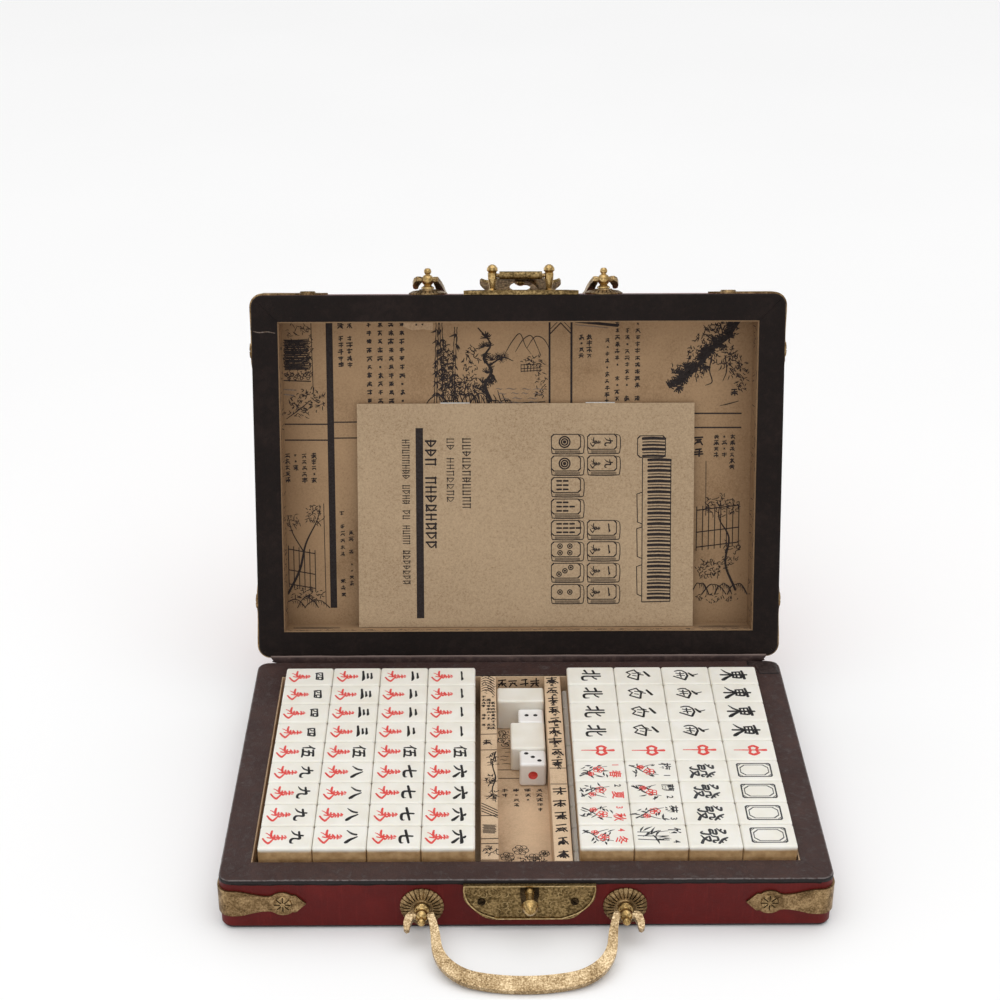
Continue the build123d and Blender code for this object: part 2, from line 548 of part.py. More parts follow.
with BuildPart() as lid_lock_screws:
    for sx in (-19.2, 20.8):
        with BuildSketch(front_plane(sx, 28.4, PLATE_T)):
            Circle(1.55)
        extrude(amount=0.7)
    fillet(lid_lock_screws.faces().filter_by(Axis.Y).group_by(Axis.Y)[0].edges(), radius=0.45)
    for sx, turn in ((-19.2, 60), (20.8, 10)):
        with BuildSketch(front_plane(sx, 28.4, PLATE_T + 0.35)):
            Rectangle(2.6, 0.45, rotation=turn)
        extrude(amount=1.0, mode=Mode.SUBTRACT)
lid_lock_screws.part = lid_lock_screws.part.rotate(HINGE, -OPEN)
lid_lock_screws.part.label = "lid_lock_screws"
export_step(lid_lock_screws.part, "parts/lid_lock_screws.step")

# two ball-headed posts that hold the hasp's pin
KNOB_HALF = 12.4
with BuildPart() as hasp_posts:
    for sx in (-1, 1):
        x0 = LOCK_X + sx * KNOB_HALF
        with BuildSketch(Plane(origin=(x0, FRONT, PIN_Z), x_dir=(1, 0, 0), z_dir=(0, 0, 1))):
            with BuildLine():
                Polyline((0, -PLATE_T), (2.1, -PLATE_T), (2.1, -PLATE_T - 0.5), (1.25, -PLATE_T - 1.2), (1.9, -6.6),
                         (2.0, -9.1), (1.7, -9.3), (2.45, -10.2), (2.3, -11.3), (1.5, -12.3), (0.6, -12.8),
                         (0, -12.8), (0, -PLATE_T))
            make_face()
        revolve(axis=Axis((x0, FRONT, PIN_Z), (0, 1, 0)), revolution_arc=360)
    with BuildSketch(Plane(origin=(-20, FRONT - PIN_OUT, PIN_Z), x_dir=(0, 1, 0), z_dir=(1, 0, 0))):
        Circle(PIN_R)
    extrude(amount=44, mode=Mode.SUBTRACT)
hasp_posts.part = hasp_posts.part.rotate(HINGE, -OPEN)
hasp_posts.part.label = "hasp_posts"
export_step(hasp_posts.part, "parts/hasp_posts.step")

with BuildPart() as hasp_pin:
    with BuildSketch(Plane(origin=(LOCK_X - KNOB_HALF - 1.9, FRONT - PIN_OUT, PIN_Z), x_dir=(0, 1, 0),
                           z_dir=(1, 0, 0))):
        Circle(PIN_R)
    extrude(amount=2 * (KNOB_HALF + 1.9))
hasp_pin.part = hasp_pin.part.rotate(HINGE, -OPEN)
hasp_pin.part.label = "hasp_pin"
export_step(hasp_pin.part, "parts/hasp_pin.step")

# ---- hasp: knuckle, flap with scalloped shoulders, long hole for the post ----
FLAP_NECK = 9.3
EAR = [(FLAP_NECK, 30.0), (10.4, 27.6), (12.6, 25.5), (15.2, 25.7), (17.0, 27.4)]
SIDE = [(17.0, 27.4), (17.9, 25.2), (16.9, 20.8), (15.0, 16.6), (13.6, 13.6), (10.6, 12.3), (6.0, 12.0)]
with BuildPart() as hasp_flap:
    with BuildSketch(front_plane(LOCK_X, 0, FLAP_IN)):
        with BuildLine():
            Line((-FLAP_NECK, PIN_Z), (FLAP_NECK, PIN_Z))
            Line((FLAP_NECK, PIN_Z), EAR[0])
            Spline(*EAR)
            Spline(*SIDE, tangents=((0.6, -1), (-1, 0)))
            Line(SIDE[-1], (-SIDE[-1][0], SIDE[-1][1]))
            Spline(*[(-x, y) for x, y in SIDE[::-1]], tangents=((-1, 0), (0.6, 1)))
            Spline(*[(-x, y) for x, y in EAR[::-1]])
            Line((-EAR[0][0], EAR[0][1]), (-FLAP_NECK, PIN_Z))
        make_face()
    extrude(amount=FLAP_OUT - FLAP_IN)
    with BuildSketch(Plane(origin=(LOCK_X - FLAP_NECK, FRONT - PIN_OUT, PIN_Z), x_dir=(0, 1, 0), z_dir=(1, 0, 0))):
        Circle(1.8)
    extrude(amount=2 * FLAP_NECK)
    with BuildSketch(Plane(origin=(LOCK_X - 12, FRONT - PIN_OUT, PIN_Z), x_dir=(0, 1, 0), z_dir=(1, 0, 0))):
        Circle(PIN_R + 0.08)
    extrude(amount=24, mode=Mode.SUBTRACT)
    with BuildSketch(front_plane(LOCK_X, 0, FLAP_IN - 0.5)):
        with Locations((0, 20.0)):
            SlotCenterToCenter(2.8, 9.2, rotation=90)
        with Locations((0, RIVET_Z)):
            Circle(1.0)
    extrude(amount=2.5, mode=Mode.SUBTRACT)
hasp_flap.part = hasp_flap.part.rotate(HASP_AXIS, -HASP_REST).rotate(HINGE, -OPEN)
hasp_flap.part.label = "hasp_flap"
export_step(hasp_flap.part, "parts/hasp_flap.step")

with BuildPart() as hook_rivet:
    with BuildSketch(Plane(origin=(LOCK_X, FRONT, RIVET_Z), x_dir=(1, 0, 0), z_dir=(0, 0, 1))):
        with BuildLine():
            Polyline((0, -FLAP_IN), (1.0, -FLAP_IN), (1.0, -9.2), (1.9, -9.2), (1.8, -9.7), (1.1, -10.1), (0, -10.2),
                     (0, -FLAP_IN))
        make_face()
    revolve(axis=Axis((LOCK_X, FRONT, RIVET_Z), (0, 1, 0)), revolution_arc=360)
hook_rivet.part = hook_rivet.part.rotate(HASP_AXIS, -HASP_REST).rotate(HINGE, -OPEN)
hook_rivet.part.label = "hook_rivet"
export_step(hook_rivet.part, "parts/hook_rivet.step")

# ---- swivel hook that catches the neck of the lock post ----------------------
R_IN, R_OUT = 12.5, 15.2


def on_arc(radius, deg):
    """A point at this radius from the rivet, measured from straight down, + to the right."""
    return (radius * sin(radians(deg)), RIVET_Z - radius * cos(radians(deg)))


with BuildPart() as swivel_hook:
    with BuildSketch(front_plane(LOCK_X, 0, FLAP_OUT + 0.2)):
        with BuildLine():
            Spline((1.6, RIVET_Z + 2.2), (5.2, 27.6), (7.3, 23.6), (7.9, 19.6), on_arc(R_OUT, 27),
                   tangents=((1, -0.2), (-0.5, -1)))
            ThreePointArc(on_arc(R_OUT, 27), on_arc(R_OUT, 2), on_arc(R_OUT, -21))
            Line(on_arc(R_OUT, -21), on_arc(R_IN, -23))
            ThreePointArc(on_arc(R_IN, -23), on_arc(R_IN, 0), on_arc(R_IN, 20))
            Spline(on_arc(R_IN, 20), (5.2, 19.4), (4.9, 22.8), (3.4, 25.4), (-1.2, RIVET_Z - 2.4),
                   tangents=((0.8, 0.5), (-1, 0.1)))
            Line((-1.2, RIVET_Z - 2.4), (1.6, RIVET_Z + 2.2))
        make_face()
        with Locations((0, RIVET_Z)):
            Circle(2.7)
    extrude(amount=1.2)
    with BuildSketch(front_plane(LOCK_X, RIVET_Z, FLAP_OUT)):
        Circle(1.08)
    extrude(amount=2.0, mode=Mode.SUBTRACT)
    with BuildSketch(Plane(origin=(LOCK_X + 3.4, FRONT, 14.1), x_dir=(1, 0, 0), z_dir=(0, 0, 1))):
        with BuildLine():
            Polyline((0, -8.4), (0.75, -8.4), (0.75, -10.4), (1.3, -11.0), (1.35, -11.8), (0.8, -12.7), (0, -12.9),
                     (0, -8.4))
        make_face()
    revolve(axis=Axis((LOCK_X + 3.4, FRONT, 14.1), (0, 1, 0)), revolution_arc=360)
swivel_hook.part = swivel_hook.part.rotate(HASP_AXIS, -HASP_REST).rotate(HINGE, -OPEN)
swivel_hook.part.label = "swivel_hook"
export_step(swivel_hook.part, "parts/swivel_hook.step")

# ---- lid straps, screws and bail fittings: the same castings, higher up ------
lid_corner_brackets = base_corner_brackets.part.moved(Location((0, 0, LID_STRAP_Z - BASE_STRAP_Z)))
lid_corner_brackets = lid_corner_brackets.rotate(HINGE, -OPEN)
lid_corner_brackets.label = "lid_corner_brackets"
export_step(lid_corner_brackets, "parts/lid_corner_brackets.step")

lid_bracket_screws = base_bracket_screws.part.moved(Location((0, 0, LID_STRAP_Z - BASE_STRAP_Z)))
lid_bracket_screws = lid_bracket_screws.rotate(HINGE, -OPEN)
lid_bracket_screws.label = "lid_bracket_screws"
export_step(lid_bracket_screws, "parts/lid_bracket_screws.step")

lid_handle_rosettes = base_handle_rosettes.part.moved(Location((0, 0, LID_BAIL_Z - BASE_BAIL_Z)))
lid_handle_rosettes = lid_handle_rosettes.rotate(HINGE, -OPEN)
lid_handle_rosettes.label = "lid_handle_rosettes"
export_step(lid_handle_rosettes, "parts/lid_handle_rosettes.step")

lid_handle_posts = base_handle_posts.part.moved(Location((0, 0, LID_BAIL_Z - BASE_BAIL_Z)))
lid_handle_posts = lid_handle_posts.rotate(HINGE, -OPEN)
lid_handle_posts.label = "lid_handle_posts"
export_step(lid_handle_posts, "parts/lid_handle_posts.step")

lid_handle = lid_handle_drawn.rotate(LID_BAIL_AXIS, -(180 + LID_BAIL_LEAN)).rotate(HINGE, -OPEN)
lid_handle.label = "lid_handle"
export_step(lid_handle, "parts/lid_handle.step")

with BuildPart() as lid_hinge_leather:
    with BuildSketch(Plane.XY.offset(LID0 + 0.2)):
        with Locations((0, D / 2 + 0.35)):
            Rectangle(2 * HINGE_HALF, 0.7)
    extrude(amount=26.6 - LID0 - 0.2)
lid_hinge_leather.part = lid_hinge_leather.part.rotate(HINGE, -OPEN)
lid_hinge_leather.part.label = "lid_hinge_leather"
export_step(lid_hinge_leather.part, "parts/lid_hinge_leather.step")

# ===========================================================================
# CONTENTS
# ===========================================================================
with BuildPart() as tile:
    Box(TILE_L, TILE_W, TILE_T, align=(Align.MIN, Align.MIN, Align.MIN))
    fillet(tile.edges(), radius=TILE_R)

LEFT_X, RIGHT_X = -102.1, 20.8      # left edge of each block's upper layer
BLOCK_Y = -66.0                     # front edge
Z_LOW = FLOOR + REST_GAP
Z_HIGH = Z_LOW + TILE_T + REST_GAP


def block(x0, y0, z0):
    return [(x0 + i * PITCH_X, y0 + j * PITCH_Y, z0) for i in range(4) for j in range(9)]


with BuildPart() as tiles_left_lower:
    with Locations(*block(LEFT_X - 0.4, BLOCK_Y + 0.2, Z_LOW)):
        add(tile.part)
tiles_left_lower.part.label = "tiles_left_lower"
export_step(tiles_left_lower.part, "parts/tiles_left_lower.step")

with BuildPart() as tiles_left_upper:
    with Locations(*block(LEFT_X, BLOCK_Y, Z_HIGH)):
        add(tile.part)
tiles_left_upper.part.label = "tiles_left_upper"
export_step(tiles_left_upper.part, "parts/tiles_left_upper.step")

with BuildPart() as tiles_right_lower:
    with Locations(*block(RIGHT_X - 2.0, BLOCK_Y - 0.6, Z_LOW)):
        add(tile.part)
tiles_right_lower.part.label = "tiles_right_lower"
export_step(tiles_right_lower.part, "parts/tiles_right_lower.step")

with BuildPart() as tiles_right_upper:
    with Locations(*block(RIGHT_X, BLOCK_Y, Z_HIGH)):
        add(tile.part)
tiles_right_upper.part.label = "tiles_right_upper"
export_step(tiles_right_upper.part, "parts/tiles_right_upper.step")

# two blank spare tiles in the middle compartment
with BuildPart() as spare_tile_standing:
    with Locations((-9.9, 52.5, Z_LOW)):
        Box(TILE_L, TILE_T, TILE_W, align=(Align.MIN, Align.MIN, Align.MIN))
    fillet(spare_tile_standing.edges(), radius=TILE_R)
spare_tile_standing.part.label = "spare_tile_standing"
export_step(spare_tile_standing.part, "parts/spare_tile_standing.step")

with BuildPart() as spare_tile_flat:
    with Locations((-4.3, 20.0, Z_LOW)):
        Box(TILE_W, TILE_L, TILE_T, align=(Align.MIN, Align.MIN, Align.MIN))
    fillet(spare_tile_flat.edges(), radius=TILE_R)
spare_tile_flat.part.label = "spare_tile_flat"
export_step(spare_tile_flat.part, "parts/spare_tile_flat.step")

# dice: rounded cubes with drilled spots; opposite faces add up to seven
SPOT = 2.7
SPOTS = {1: [(0, 0)], 2: [(-0.7, 0), (0.7, 0)], 3: [(-1, 1), (0, 0), (1, -1)],
         4: [(-1, -1), (-1, 1), (1, -1), (1, 1)], 5: [(-1, -1), (-1, 1), (1, -1), (1, 1), (0, 0)],
         6: [(-1, -1), (-1, 0), (-1, 1), (1, -1), (1, 0), (1, 1)]}


def spot_holes(n):
    """Radius and depth of the spots: the single spot of the one is large."""
    return (2.0, 0.9) if n == 1 else (0.95, 0.5)


with BuildPart() as die_one:
    with Locations((4.8, 46.5, Z_LOW + DIE / 2)):
        Box(DIE, DIE, DIE)
    fillet(die_one.edges(), radius=1.3)
    for n, z_dir, x_dir in ((2, (0, 0, 1), (1, 0, 0)), (5, (0, 0, -1), (1, 0, 0)), (3, (0, -1, 0), (1, 0, 0)),
                            (4, (0, 1, 0), (1, 0, 0)), (6, (1, 0, 0), (0, 1, 0)), (1, (-1, 0, 0), (0, 1, 0))):
        c = Vector(4.8, 46.5, Z_LOW + DIE / 2) + Vector(*z_dir) * (DIE / 2)
        r, deep = spot_holes(n)
        with BuildSketch(Plane(origin=c, x_dir=x_dir, z_dir=z_dir)):
            with Locations(*[(SPOT * u, SPOT * v) for u, v in SPOTS[n]]):
                Circle(r)
        extrude(amount=-deep, taper=30, mode=Mode.SUBTRACT)
die_one.part.label = "die_one"
export_step(die_one.part, "parts/die_one.step")

with BuildPart() as die_two:
    with Locations((4.8, 13.9, Z_LOW + DIE / 2)):
        Box(DIE, DIE, DIE)
    fillet(die_two.edges(), radius=1.3)
    for n, z_dir, x_dir in ((3, (0, 0, 1), (1, 0, 0)), (4, (0, 0, -1), (1, 0, 0)), (1, (0, -1, 0), (1, 0, 0)),
                            (6, (0, 1, 0), (1, 0, 0)), (5, (1, 0, 0), (0, 1, 0)), (2, (-1, 0, 0), (0, 1, 0))):
        c = Vector(4.8, 13.9, Z_LOW + DIE / 2) + Vector(*z_dir) * (DIE / 2)
        r, deep = spot_holes(n)
        with BuildSketch(Plane(origin=c, x_dir=x_dir, z_dir=z_dir)):
            with Locations(*[(SPOT * u, SPOT * v) for u, v in SPOTS[n]]):
                Circle(r)
        extrude(amount=-deep, taper=30, mode=Mode.SUBTRACT)
die_two.part.label = "die_two"
export_step(die_two.part, "parts/die_two.step")

# ---- rules booklet, leaning in the lid ---------------------------------------
BOOK_W, BOOK_H, BOOK_T = 150.0, 100.0, 2.2
BOOK_X = 3.5
LEAN = degrees(atan2(6.75, BOOK_H))
# lower edge on the lid's back lining, drawn in the shut position
BOOK = Plane(origin=(BOOK_X, IN_Y - LINING - 0.25, LID0 + 7.2), x_dir=(-1, 0, 0),
             z_dir=(0, sin(radians(LEAN)), cos(radians(LEAN))))

with BuildPart() as booklet_cover:
    with BuildSketch(BOOK):
        with Locations((0, BOOK_H / 2)):
            Rectangle(BOOK_W, BOOK_H)
    extrude(amount=BOOK_T)
    with BuildSketch(BOOK.offset(0.35)):
        with Locations((0, BOOK_H / 2 - 0.5)):
            Rectangle(BOOK_W + 2, BOOK_H)
    extrude(amount=BOOK_T - 0.7, mode=Mode.SUBTRACT)
booklet_cover.part = booklet_cover.part.rotate(HINGE, -OPEN)
booklet_cover.part.label = "booklet_cover"
export_step(booklet_cover.part, "parts/booklet_cover.step")

with BuildPart() as booklet_pages:
    with BuildSketch(BOOK.offset(0.4)):
        with Locations((0, BOOK_H / 2 - 0.1)):
            Rectangle(BOOK_W - 1.2, BOOK_H - 1.2)
    extrude(amount=BOOK_T - 0.8)
booklet_pages.part = booklet_pages.part.rotate(HINGE, -OPEN)
booklet_pages.part.label = "booklet_pages"
export_step(booklet_pages.part, "parts/booklet_pages.step")

# wire staples over the fold at the upper edge
with BuildPart() as booklet_staples:
    with BuildSketch(BOOK.offset(BOOK_T / 2 - 0.25)):
        with Locations((31.4, BOOK_H + 0.2), (-33.2, BOOK_H + 0.2)):
            Rectangle(13.0, 0.4)
    extrude(amount=0.5)
booklet_staples.part = booklet_staples.part.rotate(HINGE, -OPEN)
booklet_staples.part.label = "booklet_staples"
export_step(booklet_staples.part, "parts/booklet_staples.step")
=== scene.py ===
import math
import random

import bpy
import numpy as np
from mathutils import Matrix, Vector, noise


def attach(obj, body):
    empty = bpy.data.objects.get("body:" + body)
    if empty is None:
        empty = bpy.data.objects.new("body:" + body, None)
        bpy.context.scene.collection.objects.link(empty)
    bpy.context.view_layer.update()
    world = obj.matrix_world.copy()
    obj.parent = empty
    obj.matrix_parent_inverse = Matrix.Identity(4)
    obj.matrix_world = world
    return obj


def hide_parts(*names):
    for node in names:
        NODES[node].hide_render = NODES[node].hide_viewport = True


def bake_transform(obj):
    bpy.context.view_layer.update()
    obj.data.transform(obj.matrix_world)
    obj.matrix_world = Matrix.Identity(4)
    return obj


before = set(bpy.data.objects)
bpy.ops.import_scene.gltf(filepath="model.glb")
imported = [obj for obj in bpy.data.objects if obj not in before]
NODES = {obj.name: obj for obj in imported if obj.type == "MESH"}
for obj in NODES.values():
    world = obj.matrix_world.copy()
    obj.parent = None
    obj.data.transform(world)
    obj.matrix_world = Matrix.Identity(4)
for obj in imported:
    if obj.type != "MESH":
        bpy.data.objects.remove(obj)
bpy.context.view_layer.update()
SCENE = bpy.context.scene
MM = 0.001

# ---------------------------------------------------------------------------
# sizes repeated from the CAD source, in millimetres
# ---------------------------------------------------------------------------
W, D, HB, GAP = 232.0, 160.0, 22.5, 1.3
OPEN = 108.5
HINGE_Y, HINGE_Z = 81.0, 23.15
LID0, LID1 = 23.8, 43.8
RIM = 11.4
IN_X, IN_Y = W / 2 - RIM, D / 2 - RIM
LINING = 0.5
LID_FLOOR = 40.1                 # inner face of the lid's lining, shut position
LID_WALL0 = 24.9
LID_PLATE_LOW, LID_PLATE_H = LID0 + 0.2, 15.0
TILE_L, TILE_W, TILE_T = 20.6, 14.7, 11.5
PITCH_X, PITCH_Y = 20.75, 14.84
LEFT_X, RIGHT_X, BLOCK_Y = -102.1, 20.8, -66.0
Z_LOW = 4.05
Z_TOP_LOW = Z_LOW + TILE_T
Z_TOP = Z_LOW + 2 * TILE_T + 0.05
DIV_TOP = 22.2
FLOOR = 4.0

# shut position -> the rest position of the lid
_h = Vector((0, HINGE_Y, HINGE_Z)) * MM
OPENED = Matrix.Translation(_h) @ Matrix.Rotation(math.radians(-OPEN), 4, "X") @ Matrix.Translation(-_h)


# ---------------------------------------------------------------------------
# camera
# ---------------------------------------------------------------------------
def make_camera():
    f, ppx, ppy = 1946.37, 485.47, 599.21
    pitch, yaw, roll = math.radians(28.912), math.radians(-0.125), math.radians(-0.160)
    sp, cp, sy, cy = math.sin(pitch), math.cos(pitch), math.sin(yaw), math.cos(yaw)
    right = Vector((cy, sy, 0))
    up = Vector((-sy * sp, cy * sp, cp))
    fwd = Vector((-sy * cp, cy * cp, -sp))
    cx = right * math.cos(roll) + up * math.sin(roll)
    cup = -right * math.sin(roll) + up * math.cos(roll)
    cam = bpy.data.cameras.new("camera")
    cam.sensor_width = 36.0
    cam.lens = f * 36.0 / 1000.0
    cam.shift_x = (500 - ppx) / 1000.0
    cam.shift_y = (ppy - 500) / 1000.0
    cam.clip_start, cam.clip_end = 0.05, 20.0
    ob = bpy.data.objects.new("camera", cam)
    m = Matrix((cx, cup, -fwd)).transposed().to_4x4()
    m.translation = Vector((-16.34, -667.82, 467.31)) * MM
    ob.matrix_world = m
    SCENE.collection.objects.link(ob)
    SCENE.camera = ob


make_camera()


# ---------------------------------------------------------------------------
# materials
# ---------------------------------------------------------------------------
class Mat:
    """A material with short helpers for its nodes."""

    def __init__(self, name):
        self.m = bpy.data.materials.new(name)
        self.m.use_nodes = True
        self.nt = self.m.node_tree
        self.b = self.nt.nodes["Principled BSDF"]
        self.co = self.nt.nodes.new("ShaderNodeTexCoord").outputs["Object"]

    def put(self, socket, value):
        self.b.inputs[socket].default_value = value
        return self

    def link(self, a, socket):
        self.nt.links.new(a, self.b.inputs[socket] if isinstance(socket, str) else socket)

    def node(self, kind, **props):
        n = self.nt.nodes.new(kind)
        for k, v in props.items():
            setattr(n, k, v)
        return n

    def mapped(self, scale=(1, 1, 1), rotate=(0, 0, 0), src=None):
        n = self.node("ShaderNodeMapping")
        n.inputs["Scale"].default_value = scale
        n.inputs["Rotation"].default_value = rotate
        self.link(src or self.co, n.inputs["Vector"])
        return n.outputs[0]

    def noise(self, scale, detail=4.0, rough=0.55, distort=0.0, src=None):
        n = self.node("ShaderNodeTexNoise")
        n.inputs["Scale"].default_value = scale
        n.inputs["Detail"].default_value = detail
        n.inputs["Roughness"].default_value = rough
        n.inputs["Distortion"].default_value = distort
        self.link(src or self.co, n.inputs["Vector"])
        return n.outputs["Fac"]

    def voronoi(self, scale, feature="F1", rand=1.0, src=None, out="Distance"):
        n = self.node("ShaderNodeTexVoronoi", feature=feature)
        n.inputs["Scale"].default_value = scale
        n.inputs["Randomness"].default_value = rand
        self.link(src or self.co, n.inputs["Vector"])
        return n.outputs[out]

    def ramp(self, fac, stops, mode="LINEAR"):
        n = self.node("ShaderNodeValToRGB")
        cr = n.color_ramp
        cr.interpolation = mode
        while len(cr.elements) > 1:
            cr.elements.remove(cr.elements[-1])
        for i, (p, c) in enumerate(stops):
            e = cr.elements[0] if i == 0 else cr.elements.new(p)
            e.position = p
            e.color = (c, c, c, 1) if isinstance(c, (int, float)) else (*c, 1)
        self.link(fac, n.inputs["Fac"])
        return n.outputs["Color"]

    def mix(self, fac, a, b, blend="MIX"):
        n = self.node("ShaderNodeMix", data_type="RGBA", blend_type=blend)
        for sock, val in ((n.inputs[0], fac), (n.inputs[6], a), (n.inputs[7], b)):
            if isinstance(val, (int, float)):
                sock.default_value = val
            elif isinstance(val, tuple):
                sock.default_value = (*val, 1)
            else:
                self.link(val, sock)
        return n.outputs[2]

    def math(self, op, a, b=0.0, c=None, clamp=False):
        n = self.node("ShaderNodeMath", operation=op, use_clamp=clamp)
        for i, val in enumerate((a, b) if c is None else (a, b, c)):
            if isinstance(val, (int, float)):
                n.inputs[i].default_value = val
            else:
                self.link(val, n.inputs[i])
        return n.outputs[0]

    def axis(self, name, src=None):
        n = self.node("ShaderNodeSeparateXYZ")
        self.link(src or self.co, n.inputs[0])
        return n.outputs[name]

    def span(self, value, a, b, lo=0.0, hi=1.0, smooth=True):
        n = self.node("ShaderNodeMapRange", interpolation_type="SMOOTHSTEP" if smooth else "LINEAR")
        self.link(value, n.inputs[0])
        for i, v in enumerate((a, b, lo, hi)):
            n.inputs[i + 1].default_value = v
        return n.outputs[0]

    def bump(self, height, strength=0.5, dist=0.0002, normal=None):
        n = self.node("ShaderNodeBump")
        n.inputs["Strength"].default_value = strength
        n.inputs["Distance"].default_value = dist
        self.link(height, n.inputs["Height"])
        if normal is not None:
            self.link(normal, n.inputs["Normal"])
        return n.outputs[0]

    def normal(self, n):
        self.link(n, "Normal")


def make_red_leather(name, top=False):
    k = Mat(name)
    big = k.noise(22, 4, 0.6)
    mid = k.noise(140, 5, 0.6, 0.3)
    tone = k.math("MULTIPLY_ADD", mid, 0.4, k.math("MULTIPLY", big, 0.6))
    if top:
        # the top's red is a painted lit copy of the walls' red, brighter as if lit from above
        col = k.ramp(tone, [(0.30, (0.225, 0.022, 0.018)), (0.52, (0.30, 0.033, 0.027)), (0.72, (0.37, 0.050, 0.042))])
    else:
        col = k.ramp(tone, [(0.30, (0.072, 0.0035, 0.003)), (0.52, (0.098, 0.0055, 0.0045)), (0.72, (0.132, 0.010, 0.008))])
    streak = k.noise(1.0, 3, 0.5, 0.2, src=k.mapped((900, 900, 90)))
    col = k.mix(k.span(streak, 0.52, 0.75, 0, 0.22), col, (0.18, 0.016, 0.013) if not top else (0.36, 0.05, 0.045))
    if top:
        # height in the shut position: the walls are as dark as the base's, the top gets a brighter red as painted light
        # from above, and the edge of the top gets a painted highlight, partly rubbed wear
        up = k.math("ADD", k.math("MULTIPLY", k.math("SUBTRACT", k.axis("Y"), HINGE_Y * MM), math.sin(math.radians(OPEN))),
                    k.math("MULTIPLY", k.math("SUBTRACT", k.axis("Z"), HINGE_Z * MM), math.cos(math.radians(OPEN))))
        side = k.ramp(tone, [(0.30, (0.072, 0.0035, 0.003)), (0.52, (0.098, 0.0055, 0.0045)), (0.72, (0.132, 0.010, 0.008))])
        wear_and_light = k.math("MULTIPLY_ADD", mid, 0.004, up)
        col = k.mix(k.span(wear_and_light, 0.0172, 0.0202), side, col)
        # painted highlight along the edge of the top, partly rubbed wear
        rub_and_sheen = k.math("MULTIPLY", k.span(wear_and_light, 0.0176, 0.0200), k.span(wear_and_light, 0.0232, 0.0202))
        col = k.mix(k.math("MULTIPLY", rub_and_sheen, 0.45), col, (0.46, 0.035, 0.028))
    if not top:
        # darker towards the bottom edge: partly the dark foot edge, partly painted contact shade at the floor
        low = k.math("MULTIPLY_ADD", mid, 0.0010, k.axis("Z"))
        col = k.mix(k.span(low, 0.0022, 0.0011), col, (0.014, 0.006, 0.005))
    k.link(col, "Base Color")
    cells = k.span(k.voronoi(1500, "DISTANCE_TO_EDGE"), 0.0, 0.22)
    pores = k.noise(3200, 2, 0.6)
    h = k.math("MULTIPLY_ADD", pores, 0.5, cells)
    n1 = k.bump(mid, 0.25, 0.0006)
    k.normal(k.bump(h, 0.22, 0.00012, n1))
    rough = k.span(mid, 0.3, 0.7, 0.38, 0.52)
    if top:
        rough = k.math("SUBTRACT", rough, k.math("MULTIPLY", rub_and_sheen, 0.22))
    k.link(rough, "Roughness")
    k.put("Specular IOR Level", 0.27 if top else 0.17)
    return k.m


def make_rim_leather(name, lid=False):
    k = Mat(name)
    big = k.noise(45, 5, 0.65)
    mid = k.noise(330, 6, 0.65, 0.6)
    tone = k.math("MULTIPLY_ADD", mid, 0.55, k.math("MULTIPLY", big, 0.45))
    # the lid's rim leather is a darker copy of the same leather: painted shade on the lid's rim, which the overhead
    # light misses
    if lid:
        col = k.ramp(tone, [(0.28, (0.006, 0.004, 0.0035)), (0.5, (0.011, 0.007, 0.006)), (0.70, (0.022, 0.014, 0.012))])
    else:
        col = k.ramp(tone, [(0.28, (0.024, 0.011, 0.010)), (0.5, (0.045, 0.023, 0.020)), (0.70, (0.080, 0.045, 0.038))])
    rub_and_sheen = k.noise(700, 5, 0.7)
    col = k.mix(k.span(rub_and_sheen, 0.60, 0.74, 0, 0.35), col, (0.045, 0.026, 0.020) if lid else (0.12, 0.060, 0.045))
    if lid:
        # the outside of its lip is as red as the walls
        up = k.math("ADD", k.math("MULTIPLY", k.math("SUBTRACT", k.axis("Y"), HINGE_Y * MM), math.sin(math.radians(OPEN))),
                    k.math("MULTIPLY", k.math("SUBTRACT", k.axis("Z"), HINGE_Z * MM), math.cos(math.radians(OPEN))))
        red = k.ramp(tone, [(0.30, (0.055, 0.0030, 0.003)), (0.52, (0.080, 0.0050, 0.0045)), (0.72, (0.110, 0.010, 0.008))])
        col = k.mix(k.span(up, (LID0 - HINGE_Z + 0.75) * MM, (LID0 - HINGE_Z + 1.05) * MM), col, red)
    if not lid:
        # the turned-down lip is painted nearly black as painted shade on the side facing front, and the edge above it
        # gets a grey painted highlight, broken up like rubbed wear
        z = k.math("MULTIPLY_ADD", mid, 0.0003, k.axis("Z"))
        col = k.mix(k.span(z, 0.02215, 0.02235), (0.012, 0.009, 0.009), col)
        wear_and_light = k.math("MULTIPLY", k.span(z, 0.02220, 0.02240), k.span(z, 0.02266, 0.02248))
        col = k.mix(k.math("MULTIPLY", wear_and_light, k.span(rub_and_sheen, 0.36, 0.56, 0.15, 0.9)), col, (0.17, 0.150, 0.145))
    k.link(col, "Base Color")
    cells = k.span(k.voronoi(1250, "DISTANCE_TO_EDGE"), 0.0, 0.25)
    wr = k.noise(260, 7, 0.7, 1.2)
    n1 = k.bump(wr, 0.55, 0.0007)
    n2 = k.bump(cells, 0.35, 0.00014, n1)
    k.normal(n2)
    k.link(k.span(mid, 0.3, 0.7, 0.44, 0.64), "Roughness")
    k.put("Specular IOR Level", 0.10 if lid else 0.24)
    return k.m


